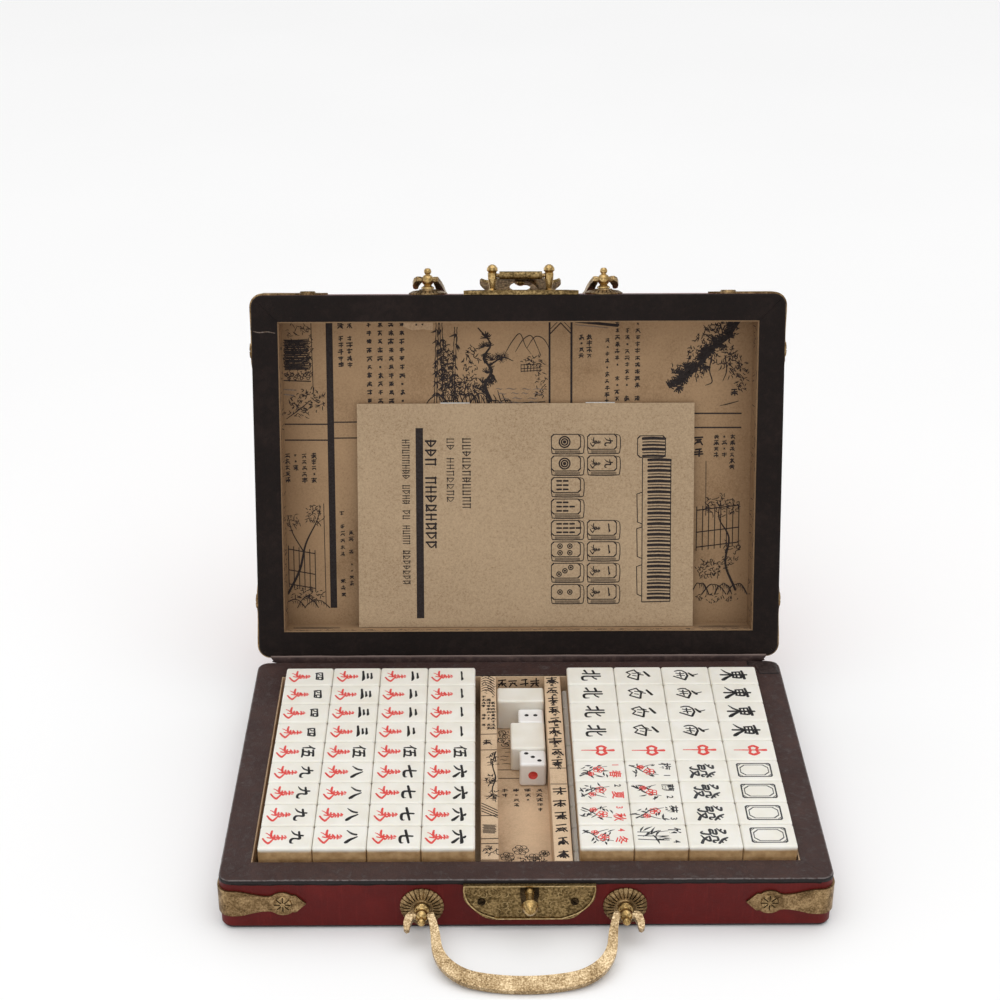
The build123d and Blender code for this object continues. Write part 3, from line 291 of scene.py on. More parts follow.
def make_end_leather():
    k = Mat("hinge_strip_end_leather")
    mid = k.noise(330, 6, 0.65, 0.6)
    col = k.ramp(mid, [(0.30, (0.016, 0.009, 0.008)), (0.5, (0.031, 0.019, 0.017)), (0.70, (0.056, 0.036, 0.032))])
    # painted shadow round its edge
    col = k.mix(k.span(k.axis("Z"), 0.02256, 0.02284), (0.008, 0.006, 0.006), col)
    k.link(col, "Base Color")
    cells = k.span(k.voronoi(1250, "DISTANCE_TO_EDGE"), 0.0, 0.25)
    k.normal(k.bump(cells, 0.35, 0.00014, k.bump(k.noise(260, 7, 0.7, 1.2), 0.55, 0.0007)))
    k.link(k.span(mid, 0.3, 0.7, 0.44, 0.64), "Roughness")
    k.put("Specular IOR Level", 0.22)
    return k.m


def make_hinge_leather():
    k = Mat("hinge_leather_red")
    mid = k.noise(160, 5, 0.6)
    k.link(k.ramp(mid, [(0.3, (0.075, 0.005, 0.006)), (0.7, (0.135, 0.013, 0.012))]), "Base Color")
    cells = k.span(k.voronoi(1500, "DISTANCE_TO_EDGE"), 0.0, 0.22)
    k.normal(k.bump(cells, 0.3, 0.00014))
    k.link(k.span(mid, 0.3, 0.7, 0.44, 0.56), "Roughness")
    k.put("Specular IOR Level", 0.3)
    return k.m


def make_fold_leather():
    """The strip over the joint: as dark as the rim, with a grey painted highlight along the crest of its fold."""
    k = Mat("fold_leather")
    mid = k.noise(330, 6, 0.65, 0.6)
    col = k.ramp(mid, [(0.28, (0.026, 0.014, 0.013)), (0.5, (0.052, 0.030, 0.027)), (0.70, (0.095, 0.060, 0.053))])
    z = k.math("MULTIPLY_ADD", k.noise(60, 3, 0.6), 0.0004, k.axis("Z"))
    # painted highlight along the crest of the fold
    col = k.mix(k.span(z, 0.02475, 0.02535, 0, 0.85), col, (0.20, 0.145, 0.125))
    k.link(col, "Base Color")
    k.normal(k.bump(k.noise(260, 7, 0.7, 1.2), 0.5, 0.0005))
    k.link(k.span(mid, 0.3, 0.7, 0.44, 0.64), "Roughness")
    k.put("Specular IOR Level", 0.3)
    return k.m


def make_brass(name, lo, midc, hi, rough=(0.54, 0.36), patchy=190, speck=1500, speck_part=0.45):
    """Brass by its low, middle and rubbed colours; rough goes from the low places to the rubbed ones."""
    k = Mat(name)
    patch = k.noise(patchy, 5, 0.65, 0.6)
    fine = k.noise(speck, 4, 0.65)
    tone = k.math("MULTIPLY_ADD", fine, speck_part, k.math("MULTIPLY", patch, 1.0 - speck_part))
    k.link(k.ramp(tone, [(0.34, lo), (0.48, midc), (0.62, hi)]), "Base Color")
    k.put("Metallic", 1.0)
    k.link(k.span(tone, 0.38, 0.60, *rough), "Roughness")
    k.normal(k.bump(fine, 0.22, 0.0002))
    return k.m


def make_kraft(name, light=(0.43, 0.285, 0.165), wear_and_light=0.3, edge=False, clouds=0.55):
    k = Mat(name)
    cloud = k.noise(30, 4, 0.6)
    fib = k.noise(1700, 4, 0.75)
    grain = k.noise(900, 3, 0.7)
    fleck = k.noise(1500, 2, 0.5)
    dark = tuple(c * f for c, f in zip(light, (0.66, 0.60, 0.54)))
    pale = tuple(min(1, c * 1.20) for c in light)
    mesh = k.math("MULTIPLY_ADD", grain, 0.45, k.math("MULTIPLY", fib, 0.55))
    col = k.ramp(k.math("MULTIPLY_ADD", mesh, 1.0 - clouds, k.math("MULTIPLY", cloud, clouds)),
                 [(0.36, dark), (0.5, light), (0.64, pale)])
    if edge:
        # painted shade towards the side walls
        near = k.span(k.math("ADD", k.math("ABSOLUTE", k.axis("X")), k.math("MULTIPLY", cloud, 0.02)), 0.094, 0.117, 0, 0.45)
        col = k.mix(near, col, tuple(c * f for c, f in zip(light, (0.50, 0.42, 0.36))))
    col = k.mix(k.span(fleck, 0.66, 0.74, 0, wear_and_light), col, (0.09, 0.055, 0.032))
    k.link(col, "Base Color")
    k.normal(k.bump(fib, 0.25, 0.00008))
    k.put("Roughness", 0.78).put("Specular IOR Level", 0.25)
    return k.m


def make_tile(name, top=None):
    """Ivory resin; below its face the sides are tinted tan, a painted reflection of the brown lining with painted shade
    in the gaps. top is the height of the face.
    """
    k = Mat(name)
    cloud = k.noise(120, 3, 0.5)
    col = k.ramp(cloud, [(0.3, (0.80, 0.77, 0.685)), (0.7, (0.86, 0.84, 0.775))])
    if top is not None:
        wob = k.noise(90, 2, 0.5)
        z = k.math("MULTIPLY_ADD", wob, 0.0008, k.axis("Z"))
        # painted reflection and shade: tan on the sides below the face
        tan = k.ramp(k.noise(260, 3, 0.6), [(0.3, (0.34, 0.20, 0.085)), (0.7, (0.56, 0.37, 0.19))])
        col = k.mix(k.span(z, top * MM - 0.0020, top * MM - 0.0003), tan, col)
    k.link(col, "Base Color")
    k.link(k.span(cloud, 0.3, 0.7, 0.32, 0.40), "Roughness")
    k.put("Specular IOR Level", 0.35)
    k.put("Subsurface Weight", 0.10).put("Subsurface Radius", (0.0010, 0.0008, 0.0005)).put("Subsurface Scale", 1.0)
    return k.m


def make_die():
    k = Mat("die_resin")
    cloud = k.noise(200, 2, 0.5)
    k.link(k.ramp(cloud, [(0.3, (0.86, 0.855, 0.84)), (0.7, (0.91, 0.905, 0.90))]), "Base Color")
    k.link(k.span(cloud, 0.3, 0.7, 0.14, 0.2), "Roughness")
    k.put("Coat Weight", 0.4).put("Coat Roughness", 0.06)
    return k.m


def make_ink(name, colour, rough=0.5, vary=0.35, scale=900):
    k = Mat(name)
    n = k.noise(scale, 3, 0.6)
    pale = tuple(c + (1 - c) * vary * 0.35 for c in colour)
    k.link(k.ramp(n, [(0.35, colour), (0.75, pale)]), "Base Color")
    k.put("Roughness", rough).put("Specular IOR Level", 0.3)
    return k.m


def make_board():
    k = Mat("board")
    g = k.noise(1.0, 5, 0.6, 1.0, src=k.mapped((40, 600, 600)))
    k.link(k.ramp(g, [(0.3, (0.36, 0.24, 0.13)), (0.7, (0.56, 0.41, 0.25))]), "Base Color")
    k.normal(k.bump(g, 0.2, 0.0002))
    k.put("Roughness", 0.7)
    return k.m


def make_foot():
    k = Mat("foot_sheet")
    n = k.noise(500, 5, 0.7)
    k.link(k.ramp(n, [(0.3, (0.010, 0.008, 0.008)), (0.7, (0.030, 0.024, 0.023))]), "Base Color")
    k.normal(k.bump(n, 0.4, 0.0003))
    k.put("Roughness", 0.7)
    return k.m


def make_pages():
    k = Mat("pages")
    st = k.noise(1.0, 2, 0.5, src=k.mapped((60, 3500, 3500)))
    k.link(k.ramp(st, [(0.35, (0.46, 0.38, 0.26)), (0.65, (0.68, 0.60, 0.46))]), "Base Color")
    k.normal(k.bump(st, 0.5, 0.0002))
    k.put("Roughness", 0.8)
    return k.m


def make_steel():
    k = Mat("staple_wire")
    n = k.noise(1400, 3, 0.6)
    k.link(k.ramp(n, [(0.3, (0.42, 0.40, 0.37)), (0.7, (0.66, 0.65, 0.63))]), "Base Color")
    k.link(k.span(n, 0.3, 0.7, 0.28, 0.4), "Roughness")
    k.put("Metallic", 1.0)
    return k.m


RED = make_red_leather("red_leather")
RED_LID = make_red_leather("red_leather_lid", top=True)
RIM_MAT = make_rim_leather("rim_leather_base")
RIM_LID_SHADED = make_rim_leather("rim_leather_lid_shaded", lid=True)
RED_BACK = make_hinge_leather()
FOLD = make_fold_leather()
END_LEATHER = make_end_leather()
BRASS = make_brass("antique_brass", (0.045, 0.026, 0.011), (0.195, 0.122, 0.056), (0.43, 0.295, 0.150))
BRASS_CAST = make_brass("antique_brass_cast", (0.035, 0.021, 0.010), (0.180, 0.115, 0.052), (0.45, 0.31, 0.155))
BRASS_PLATE = make_brass("antique_brass_plate", (0.040, 0.026, 0.011), (0.155, 0.102, 0.042), (0.40, 0.28, 0.125), (0.54, 0.36), 190,
                         1050, 0.66)
BRASS_BRIGHT = make_brass("rubbed_brass", (0.10, 0.060, 0.022), (0.42, 0.275, 0.105), (0.74, 0.54, 0.26), (0.34, 0.20), 160)
BRASS_BAIL = make_brass("speckled_brass", (0.11, 0.068, 0.032), (0.38, 0.262, 0.135), (0.76, 0.60, 0.38), (0.50, 0.30), 120,
                        1500, 0.66)
# a darker copy of the bail brass: painted shade for the lid's handle, which hangs in shade
BRASS_BAIL_SHADED = make_brass("shaded_bail_brass", (0.05, 0.030, 0.013), (0.20, 0.130, 0.058), (0.52, 0.37, 0.18),
                             (0.50, 0.30), 120, 1500, 0.6)
BRASS_LINE = make_brass("brass_highlight_line", (0.22, 0.145, 0.062), (0.52, 0.37, 0.17), (0.80, 0.62, 0.34), (0.42, 0.30), 300)
BRASS_CURL = make_brass("engraved_brass", (0.14, 0.092, 0.040), (0.30, 0.205, 0.090), (0.50, 0.37, 0.18), (0.46, 0.34), 300)
DARK_METAL = make_brass("darkened_brass", (0.010, 0.007, 0.004), (0.028, 0.018, 0.009), (0.095, 0.062, 0.030))
KRAFT = make_kraft("kraft_lining", (0.62, 0.455, 0.30), 0.10)
# the lid's lining is a darker copy of the same paper: painted shade on the upright lid, darker still near its side
# walls
KRAFT_LID_SHADED = make_kraft("kraft_lining_lid_shaded", (0.318, 0.204, 0.112), 0.22, edge=True, clouds=0.42)
KRAFT_BOOK = make_kraft("kraft_cover", (0.390, 0.282, 0.176), 0.12, clouds=0.16)
KRAFT_SCRAP = make_kraft("kraft_scrap", (0.43, 0.300, 0.185), 0.10, clouds=0.2)
TILE = make_tile("tile_resin")
TILE_UPPER = make_tile("tile_resin_upper", Z_TOP)
TILE_LOWER = make_tile("tile_resin_lower", Z_TOP_LOW)
DIE = make_die()
BOARD = make_board()
FOOT = make_foot()
PAGES = make_pages()
STEEL = make_steel()
INK_BLACK = make_ink("ink_black", (0.006, 0.006, 0.007), 0.55, 0.04)
INK_RED = make_ink("ink_red", (0.70, 0.040, 0.030), 0.5, 0.3)
INK_GREEN = make_ink("ink_green", (0.014, 0.040, 0.028), 0.55, 0.1)
INK_GREY = make_ink("ink_grey", (0.022, 0.023, 0.027), 0.55, 0.1)
PRINT = make_ink("print_brown", (0.015, 0.009, 0.008), 0.9, 0.05, 1400)
PRINT_SOFT = make_ink("print_soft", (0.115, 0.075, 0.050), 0.8, 0.3, 1400)
GOLD = make_ink("foil_gold", (0.62, 0.235, 0.050), 0.42, 0.25, 500)
GOLD_PALE = make_ink("foil_pale", (0.62, 0.36, 0.12), 0.42, 0.25, 500)
LEAF = make_ink("foil_green", (0.17, 0.165, 0.070), 0.45, 0.3, 500)
SLATE = make_ink("foil_slate", (0.105, 0.100, 0.090), 0.45, 0.3, 500)
RUST = make_ink("foil_rust", (0.45, 0.085, 0.035), 0.45, 0.3, 500)


def assign(node, mat):
    o = NODES[node]
    o.data.materials.clear()
    o.data.materials.append(mat)


for n in NODES:
    if "leather_cover" in n:
        assign(n, RED_LID if n.startswith("lid") else RED)
    elif "rim_leather" in n:
        assign(n, RIM_LID_SHADED if n.startswith("lid") else RIM_MAT)
    elif "hinge_leather" in n:
        assign(n, RED_BACK)
    elif "lining" in n or n.startswith("divider"):
        assign(n, KRAFT_LID_SHADED if n.startswith("lid") else KRAFT)
    elif "wall" in n or "panel" in n:
        assign(n, BOARD)
    elif n == "base_foot_sheet":
        assign(n, FOOT)
    elif n.startswith("tiles"):
        assign(n, TILE_UPPER if n.endswith("upper") else TILE_LOWER)
    elif n.startswith("spare"):
        assign(n, TILE)
    elif n.startswith("die"):
        assign(n, DIE)
    elif n == "booklet_cover":
        assign(n, KRAFT_BOOK)
    elif n == "booklet_pages":
        assign(n, PAGES)
    elif n == "booklet_staples":
        assign(n, STEEL)
    elif n in ("base_lock_plate", "lid_lock_plate", "hasp_flap"):
        assign(n, BRASS_PLATE)
    elif n in ("base_corner_brackets", "lid_corner_brackets"):
        assign(n, BRASS)
    elif n in ("base_handle", "lid_handle"):
        # the lid's handle gets the darker copy as painted shade
        assign(n, BRASS_BAIL if n == "base_handle" else BRASS_BAIL_SHADED)
    elif n in ("lock_post", "hasp_posts", "base_handle_posts", "lid_handle_posts", "hook_rivet"):
        assign(n, BRASS_BRIGHT)
    elif n.endswith("lock_screws"):
        assign(n, DARK_METAL)
    else:
        assign(n, BRASS_CAST)


# ---------------------------------------------------------------------------
# printed and painted shapes: flat ink a few hundredths of a millimetre thick
# ---------------------------------------------------------------------------
def smooth_path(pts, per=5):
    """Catmull-Rom through the points; a point is (x, y, width)."""
    p = np.array(pts, float)
    if len(p) < 3:
        t = np.linspace(0, 1, per + 1)[:, None]
        return p[0] * (1 - t) + p[-1] * t
    ext = np.vstack([2 * p[0] - p[1], p, 2 * p[-1] - p[-2]])
    out = []
    for i in range(len(p) - 1):
        a, b, c, d = ext[i:i + 4]
        for t in np.linspace(0, 1, per, endpoint=False):
            out.append(0.5 * (2 * b + (c - a) * t + (2 * a - 5 * b + 4 * c - d) * t * t
                              + (3 * b - a - 3 * c + d) * t ** 3))
    out.append(p[-1])
    return np.array(out)


class Ink:
    """Shapes on one plane: origin and the two directions are in millimetres, in the shut or rest frame."""

    def __init__(self, origin, u, v, matrix=None, lift=0.02):
        self.u, self.v = Vector(u).normalized(), Vector(v).normalized()
        self.n = self.u.cross(self.v)
        self.o = Vector(origin) + self.n * lift
        self.m = matrix or Matrix.Identity(4)
        self.verts, self.faces = [], []
        self.count = 0

    def at(self, x, y):
        # strokes lie at slightly different heights, so that crossing ones don't share a plane
        return self.o + self.u * float(x) + self.v * float(y) + self.n * (0.0022 * (self.count % 7))

    def poly(self, pts):
        self.count += 1
        k = len(self.verts)
        self.verts += [self.at(*p) for p in pts]
        area = sum(pts[i][0] * pts[(i + 1) % len(pts)][1] - pts[(i + 1) % len(pts)][0] * pts[i][1]
                   for i in range(len(pts)))
        ids = list(range(k, k + len(pts)))
        self.faces.append(ids if area > 0 else ids[::-1])

    def strip(self, left, right, closed=False):
        self.count += 1
        k = len(self.verts)
        n = len(left)
        for a, b in zip(left, right):
            self.verts += [self.at(*a), self.at(*b)]
        for i in range(n if closed else n - 1):
            j = (i + 1) % n
            self.faces.append([k + 2 * i + 1, k + 2 * j + 1, k + 2 * j, k + 2 * i])

    def stroke(self, pts, per=5, width=None):
        """A brush stroke: points (x, y, width), smoothed."""
        pts = [(*p, width) if len(p) == 2 else p for p in pts]
        s = smooth_path(pts, per)
        d = np.gradient(s[:, :2], axis=0)
        ln = np.maximum(np.hypot(d[:, 0], d[:, 1]), 1e-9)
        nx, ny = -d[:, 1] / ln, d[:, 0] / ln
        h = np.maximum(s[:, 2], 0.02) / 2
        t0 = -d[0] / ln[0]
        t1 = d[-1] / ln[-1]
        rows = []
        for k in (0.92, 0.6):
            rows.append((s[0, :2] + t0 * h[0] * k * 0.8, h[0] * math.sqrt(1 - k * k), nx[0], ny[0]))
        for i in range(len(s)):
            rows.append((s[i, :2], h[i], nx[i], ny[i]))
        for k in (0.6, 0.92):
            rows.append((s[-1, :2] + t1 * h[-1] * k * 0.8, h[-1] * math.sqrt(1 - k * k), nx[-1], ny[-1]))
        left = [(p[0] + a * w, p[1] + b * w) for p, w, a, b in rows]
        right = [(p[0] - a * w, p[1] - b * w) for p, w, a, b in rows]
        self.strip(left, right)

    def line(self, x0, y0, x1, y1, w):
        self.stroke([(x0, y0, w), (x1, y1, w)], per=2)

    def bar(self, x0, y0, x1, y1):
        self.poly([(x0, y0), (x1, y0), (x1, y1), (x0, y1)])

    def disc(self, x, y, r, n=20, ry=None, turn=0.0):
        ry = r if ry is None else ry
        ct, st = math.cos(turn), math.sin(turn)
        self.poly([(x + r * math.cos(a) * ct - ry * math.sin(a) * st, y + r * math.cos(a) * st + ry * math.sin(a) * ct)
                   for a in [2 * math.pi * i / n for i in range(n)]])

    def ring(self, x, y, r, w, n=32, ry=None):
        ry = r if ry is None else ry
        a = [2 * math.pi * i / n for i in range(n)]
        self.strip([(x + (r - w / 2) * math.cos(t), y + (ry - w / 2) * math.sin(t)) for t in a],
                   [(x + (r + w / 2) * math.cos(t), y + (ry + w / 2) * math.sin(t)) for t in a], closed=True)

    def frame(self, x0, y0, x1, y1, w, cut=0.0):
        """A rectangular line of width w, with its corners cut."""
        def loop(d):
            a, b, c, e = x0 + d, y0 + d, x1 - d, y1 - d
            k = cut if cut else 0.0001
            return [(a + k, b), (c - k, b), (c, b + k), (c, e - k), (c - k, e), (a + k, e), (a, e - k), (a, b + k)]
        self.strip(loop(w), loop(0), closed=True)

    def spiral(self, x, y, r, turns, w, start=0.0, way=1, inner=0.12, tail=None):
        n = max(8, int(turns * 14))
        pts = []
        for i in range(n + 1):
            t = i / n
            a = start + way * turns * 2 * math.pi * t
            rr = r * (1 - (1 - inner) * t)
            pts.append((x + rr * math.cos(a), y + rr * math.sin(a), w * (1 - 0.45 * t)))
        if tail:
            pts = [(*tail, w * 0.6)] + pts
        self.stroke(pts, per=2)

    def make(self, name, mat, body, thick=0.03, slot=None):
        if not self.faces:
            return None
        me = bpy.data.meshes.new(name)
        me.from_pydata([v * MM for v in self.verts], [], self.faces)
        me.transform(self.m)
        me.materials.append(mat)
        me.validate()
        ob = bpy.data.objects.new(name, me)
        SCENE.collection.objects.link(ob)
        if thick:
            s = ob.modifiers.new("thickness", "SOLIDIFY")
            s.thickness = thick * MM
            s.offset = -1.0
        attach(ob, body)
        return ob


# brush-drawn signs of the tiles: strokes of (x, y, width) in a 100 x 100 box, y up
def S(text):
    return [[tuple(float(v) for v in p.split(",")) for p in s.split()] for s in text.split(";")]


SIGNS = {
    "1": S("4,50,9 22,55,10 60,58,9 82,64,14 96,55,5"),
    "2": S("20,74,8 45,78,9 66,80,12 76,74,5;4,26,9 38,31,10 74,34,13 96,26,5"),
    "3": S("22,86,8 46,89,8 70,91,11 80,86,4;26,54,8 48,57,8 66,60,11 76,54,4;3,18,9 38,23,10 76,27,13 97,18,5"),
    "4": S("14,78,9 14,46,9 19,18,9;14,76,8 48,82,8 82,84,12 88,74,10 82,24,8;38,78,8 36,54,8 22,40,4;"
           "62,80,8 60,50,9 68,42,9 80,48,5;19,25,8 50,27,8 82,27,7"),
    "5": S("30,96,9 20,72,8 3,50,4;20,70,8 20,40,9 21,6,6;40,86,8 64,90,8 90,91,10;64,88,8 57,50,9 48,12,8;"
           "44,52,7 62,57,8 84,58,10 84,34,8 78,12,8;32,8,9 62,12,9 98,8,7"),
    "6": S("46,96,6 56,86,12 60,80,6;4,60,9 48,67,9 88,70,13 97,62,5;38,50,10 28,30,9 6,8,4;60,50,7 76,30,11 92,10,13 98,6,4"),
    "7": S("3,44,9 40,54,10 94,68,8;46,94,9 44,60,10 44,26,11 54,13,11 78,12,10 92,20,8 92,34,3"),
    "8": S("36,82,11 28,48,10 4,10,4;50,90,6 58,72,9 72,38,13 92,10,14 99,5,4"),
    "9": S("40,94,10 37,60,9 26,28,8 4,6,3;10,62,8 38,68,9 62,72,12 61,44,9 63,20,11 76,9,10 92,12,9 95,30,3"),
    # ten thousand, drawn narrow above and wide below
    "wan": S("60,0,7 82,12,9 98,26,11;98,26,11 82,36,9 62,46,7;58,38,9 32,33,10 3,35,8;20,9,4 28,20,5 40,29,5;"
             "52,18,7 57,34,8 49,52,9 55,72,8 51,99,7;34,48,7 52,46,8 70,54,8;70,54,8 56,62,7 36,60,6;36,60,6 54,70,6 68,68,7;"
             "38,79,7 52,82,7 68,81,8;40,90,5 45,96,6;62,90,6 60,97,5"),
    "east": S("14,82,7 50,86,8 84,88,9;24,74,7 27,46,7;24,73,6 50,76,7 75,76,9 72,46,7;28,60,5 71,61,6;27,47,6 72,48,7;"
              "50,99,8 50,52,9 49,2,8;46,44,8 28,24,7 2,8,3;54,45,6 72,24,11 92,8,12 99,4,3"),
    "south": S("28,63,8 44,71,11 60,80,12;50,80,7 46,90,6 40,100,5;12,9,7 4,24,8 6,40,8;6,40,7 28,53,8 56,58,9;"
               "56,58,9 76,52,10 97,46,10;97,46,9 80,26,9 62,3,8;30,14,6 36,30,6 34,46,6;54,16,6 52,32,6 56,46,6;20,30,6 44,29,6 72,32,6"),
    "west": S("18,78,9 38,87,12 64,99,12;44,54,8 51,73,7;24,48,7 34,63,6;24,1,8 12,18,8 2,36,9;2,36,8 20,44,8 42,54,9;"
              "42,54,9 70,50,9 97,47,10;97,47,9 84,26,9 69,4,8;69,4,7 44,18,6;44,18,6 24,1,7;31,26,6 34,42,6;54,26,6 60,42,6"),
    "north": S("4,62,8 32,68,9;36,94,9 36,50,9 34,12,8;2,20,9 22,28,7 36,36,4;88,76,8 76,64,7 60,54,4;"
               "58,96,9 58,54,9 58,24,10 66,10,10 86,9,9 95,16,8 95,34,3"),
    # centre: a flat box high on a long upright
    "red": S("24,76,12 8,63,13 20,50,11;78,76,13 95,61,14 80,48,12;24,76,11 52,71,11 78,77,12;20,50,11 52,52,10 80,48,11;"
             "50,99,15 51,90,13 50,78,8 50,46,8 49,22,6 49,2,5"),
    "green": S("16,94,6 36,93,6 24,78,5 4,64,3;10,80,5 20,76,5;62,98,5 74,80,7 98,64,6;82,92,5 74,84,4;94,80,5 84,74,4;"
               "12,58,6 40,60,6 38,48,5;14,48,5 38,49,5;15,47,6 12,36,6 40,38,6 38,12,7 30,4,6 22,10,3;"
               "58,62,5 55,46,5 46,38,3;58,62,5 80,63,6 80,46,5 92,46,6 93,54,3;52,31,5 84,33,6 70,14,6 46,0,3;"
               "58,25,5 74,10,7 97,1,8"),
}


def brush(ink, sign, cx, cy, w, h, jitter=0.0, rng=None, fat=1.0):
    """Draws a sign in a w x h box around (cx, cy)."""
    k = (w + h) / 200 * fat
    for s in SIGNS[sign]:
        dx = dy = 0.0
        if rng and jitter:
            dx, dy = rng.uniform(-jitter, jitter), rng.uniform(-jitter, jitter)
        ink.stroke([(cx + (x / 100 - 0.5) * w + dx, cy + (y / 100 - 0.5) * h + dy, q * k) for x, y, q in s], per=4)


def font_sign(text, cx, cy, size, ink, fat=0.0):
    """A small printed sign from the default font, laid into the ink's plane."""
    cu = bpy.data.curves.new("tmp_sign", "FONT")
    cu.body = text
    cu.size = size
    cu.align_x = "CENTER"
    cu.align_y = "CENTER"
    cu.resolution_u = 2
    cu.offset = fat
    ob = bpy.data.objects.new("tmp_sign", cu)
    SCENE.collection.objects.link(ob)
    bpy.context.view_layer.update()
    me = bpy.data.meshes.new_from_object(ob)
    k = len(ink.verts)
    if len(me.vertices):
        xs = [v.co.x for v in me.vertices]
        ys = [v.co.y for v in me.vertices]
        ox, oy = (min(xs) + max(xs)) / 2, (min(ys) + max(ys)) / 2
        ink.verts += [ink.at(cx + v.co.x - ox, cy + v.co.y - oy) for v in me.vertices]
        for p in me.polygons:
            ids = [k + i for i in p.vertices]
            ink.faces.append(ids if p.normal.z > 0 else ids[::-1])
    bpy.data.objects.remove(ob)
    bpy.data.curves.remove(cu)
    bpy.data.meshes.remove(me)


def tile_inks(z, lift=0.015):
    """Inks of a layer of tiles: a sign's right is -Y and its top is +X."""
    return {c: Ink((0, 0, z), (0, -1, 0), (1, 0, 0), lift=lift + d)
            for c, d in (("black", 0.0), ("red", 0.004), ("green", 0.002), ("grey", 0.001))}


def put_inks(inks, name, body):
    mats = {"black": INK_BLACK, "red": INK_RED, "green": INK_GREEN, "grey": INK_GREY}
    for c, ink in inks.items():
        ink.make(f"{name}_{c}", mats[c], body, thick=0.02, slot="tile")


def centre_of(x0, y0, i, j):
    """The tile's middle in the signs' own directions: (-y, x)."""
    x, y = x0 + i * PITCH_X + TILE_L / 2, y0 + j * PITCH_Y + TILE_W / 2
    return -y, x


# ---- left block, upper layer: the ten-thousands ------------------------------
rng = random.Random(11)
inks = tile_inks(Z_TOP)
NUMS = {0: {9: "4", 8: "4", 7: "4", 6: "4"}, 1: "3", 2: "2", 3: "1"}
for i in range(4):
    for row in range(1, 10):
        j = 9 - row
        cx, cy = centre_of(LEFT_X, BLOCK_Y, i, j)
        num = "4321"[i] if row <= 4 else ("5" if row == 5 else "9876"[i])
        dx, dy = rng.uniform(-0.25, 0.25), rng.uniform(-0.3, 0.3)
        brush(inks["red"], "wan", cx + dx, cy - 4.0 + dy, 8.8, 9.0, 0.10, rng, 1.12)
        w, h = {"1": (8.0, 4.2), "2": (8.3, 4.8), "3": (8.5, 5.4), "4": (7.6, 4.6), "5": (9.0, 5.4),
                "6": (9.2, 5.8), "7": (9.2, 5.8), "8": (8.8, 5.2), "9": (8.8, 5.3)}[num]
        if num == "1":
            h = 3.2
        brush(inks["black"], num, cx + dx + rng.uniform(-0.2, 0.2), cy + 4.3 + dy, w, h, 0.08, rng, 1.5)
put_inks(inks, "signs_left_upper", "tile_layer_left_upper")

# ---- right block, upper layer: winds, dragons, flowers and seasons -----------
inks = tile_inks(Z_TOP)


def petals(ink, cx, cy, r, n, w, start=0.0):
    for q in range(n):
        a = start + 2 * math.pi * q / n
        x, y = cx + r * 0.62 * math.cos(a), cy + r * 0.62 * math.sin(a)
        ink.ring(x, y, r * 0.42, w, n=12)


def leaf(ink, x, y, a, ln, w):
    """A pointed leaf from (x, y) towards angle a."""
    c, s = math.cos(a), math.sin(a)
    ink.stroke([(x, y, w * 0.25), (x + c * ln * 0.45 - s * ln * 0.06, y + s * ln * 0.45 + c * ln * 0.06, w),
                (x + c * ln, y + s * ln, w * 0.1)], per=4)


def flower_tile(kind, row, cx, cy):
    r2 = random.Random(100 * kind + row)
    black, red = inks["grey"], inks["red"]
    px, py = cx + r2.uniform(-0.4, 0.4), cy - 2.2
    if row == 9 and kind == 1:
        for q in range(13):
            leaf(black, px + r2.uniform(-3.4, 3.4), py + r2.uniform(-5.5, 3.5), r2.uniform(0.2, 2.8), r2.uniform(2.8, 5.2),
                 0.8)
        for q in (-2.2, 0.2, 2.5):
            black.stroke([(px + q, py - 6.2, 0.5), (px + q * 1.1 + 0.3, py + 0.5, 0.42), (px + q * 1.3, py + 5.6, 0.3)])
    else:
        sway = r2.choice((-1, 1))
        black.stroke([(px - sway * 3.6, py - 6.2, 0.8), (px - sway * 1.6, py - 3.4, 0.6), (px + sway * 1.6, py - 0.2, 0.5),
                      (px + sway * 3.2, py + 5.0, 0.25)])
        black.stroke([(px - sway * 1.2, py - 3.0, 0.55), (px - sway * 3.2, py + 0.6, 0.4), (px - sway * 4.4, py + 3.4, 0.2)])
        for q in range(15):
            leaf(black, px + r2.uniform(-4.2, 4.2), py + r2.uniform(-6.0, 4.6), r2.uniform(0, 6.28), r2.uniform(1.8, 3.4),
                 r2.uniform(0.5, 0.95))
        for dx, dy, r in ((sway * 0.9, 1.4, 2.3), (-sway * 2.2, -1.9, 1.5)):
            for q in range(5):
                a = q * 1.257 + dx
                red.ring(px + dx + r * 0.55 * math.cos(a), py + dy + r * 0.55 * math.sin(a), r * 0.40, 0.42, n=12)
            red.disc(px + dx, py + dy, r * 0.3, 8)
    # small sign and number, high on the tile
    sign = ("春夏秋冬", "梅蘭菊竹")[kind][row - 6]
    number = "1234"[row - 6]
    a, b = (red, red) if kind == 0 else (black, black)
    side = 1 if kind == 0 else -1
    font_sign(sign, cx + side * 2.6, cy + 5.9, 5.2, a, 0.10)
    font_sign(number, cx - side * 3.9, cy + 6.2, 3.6, b if row != 7 else inks["black"], 0.08)


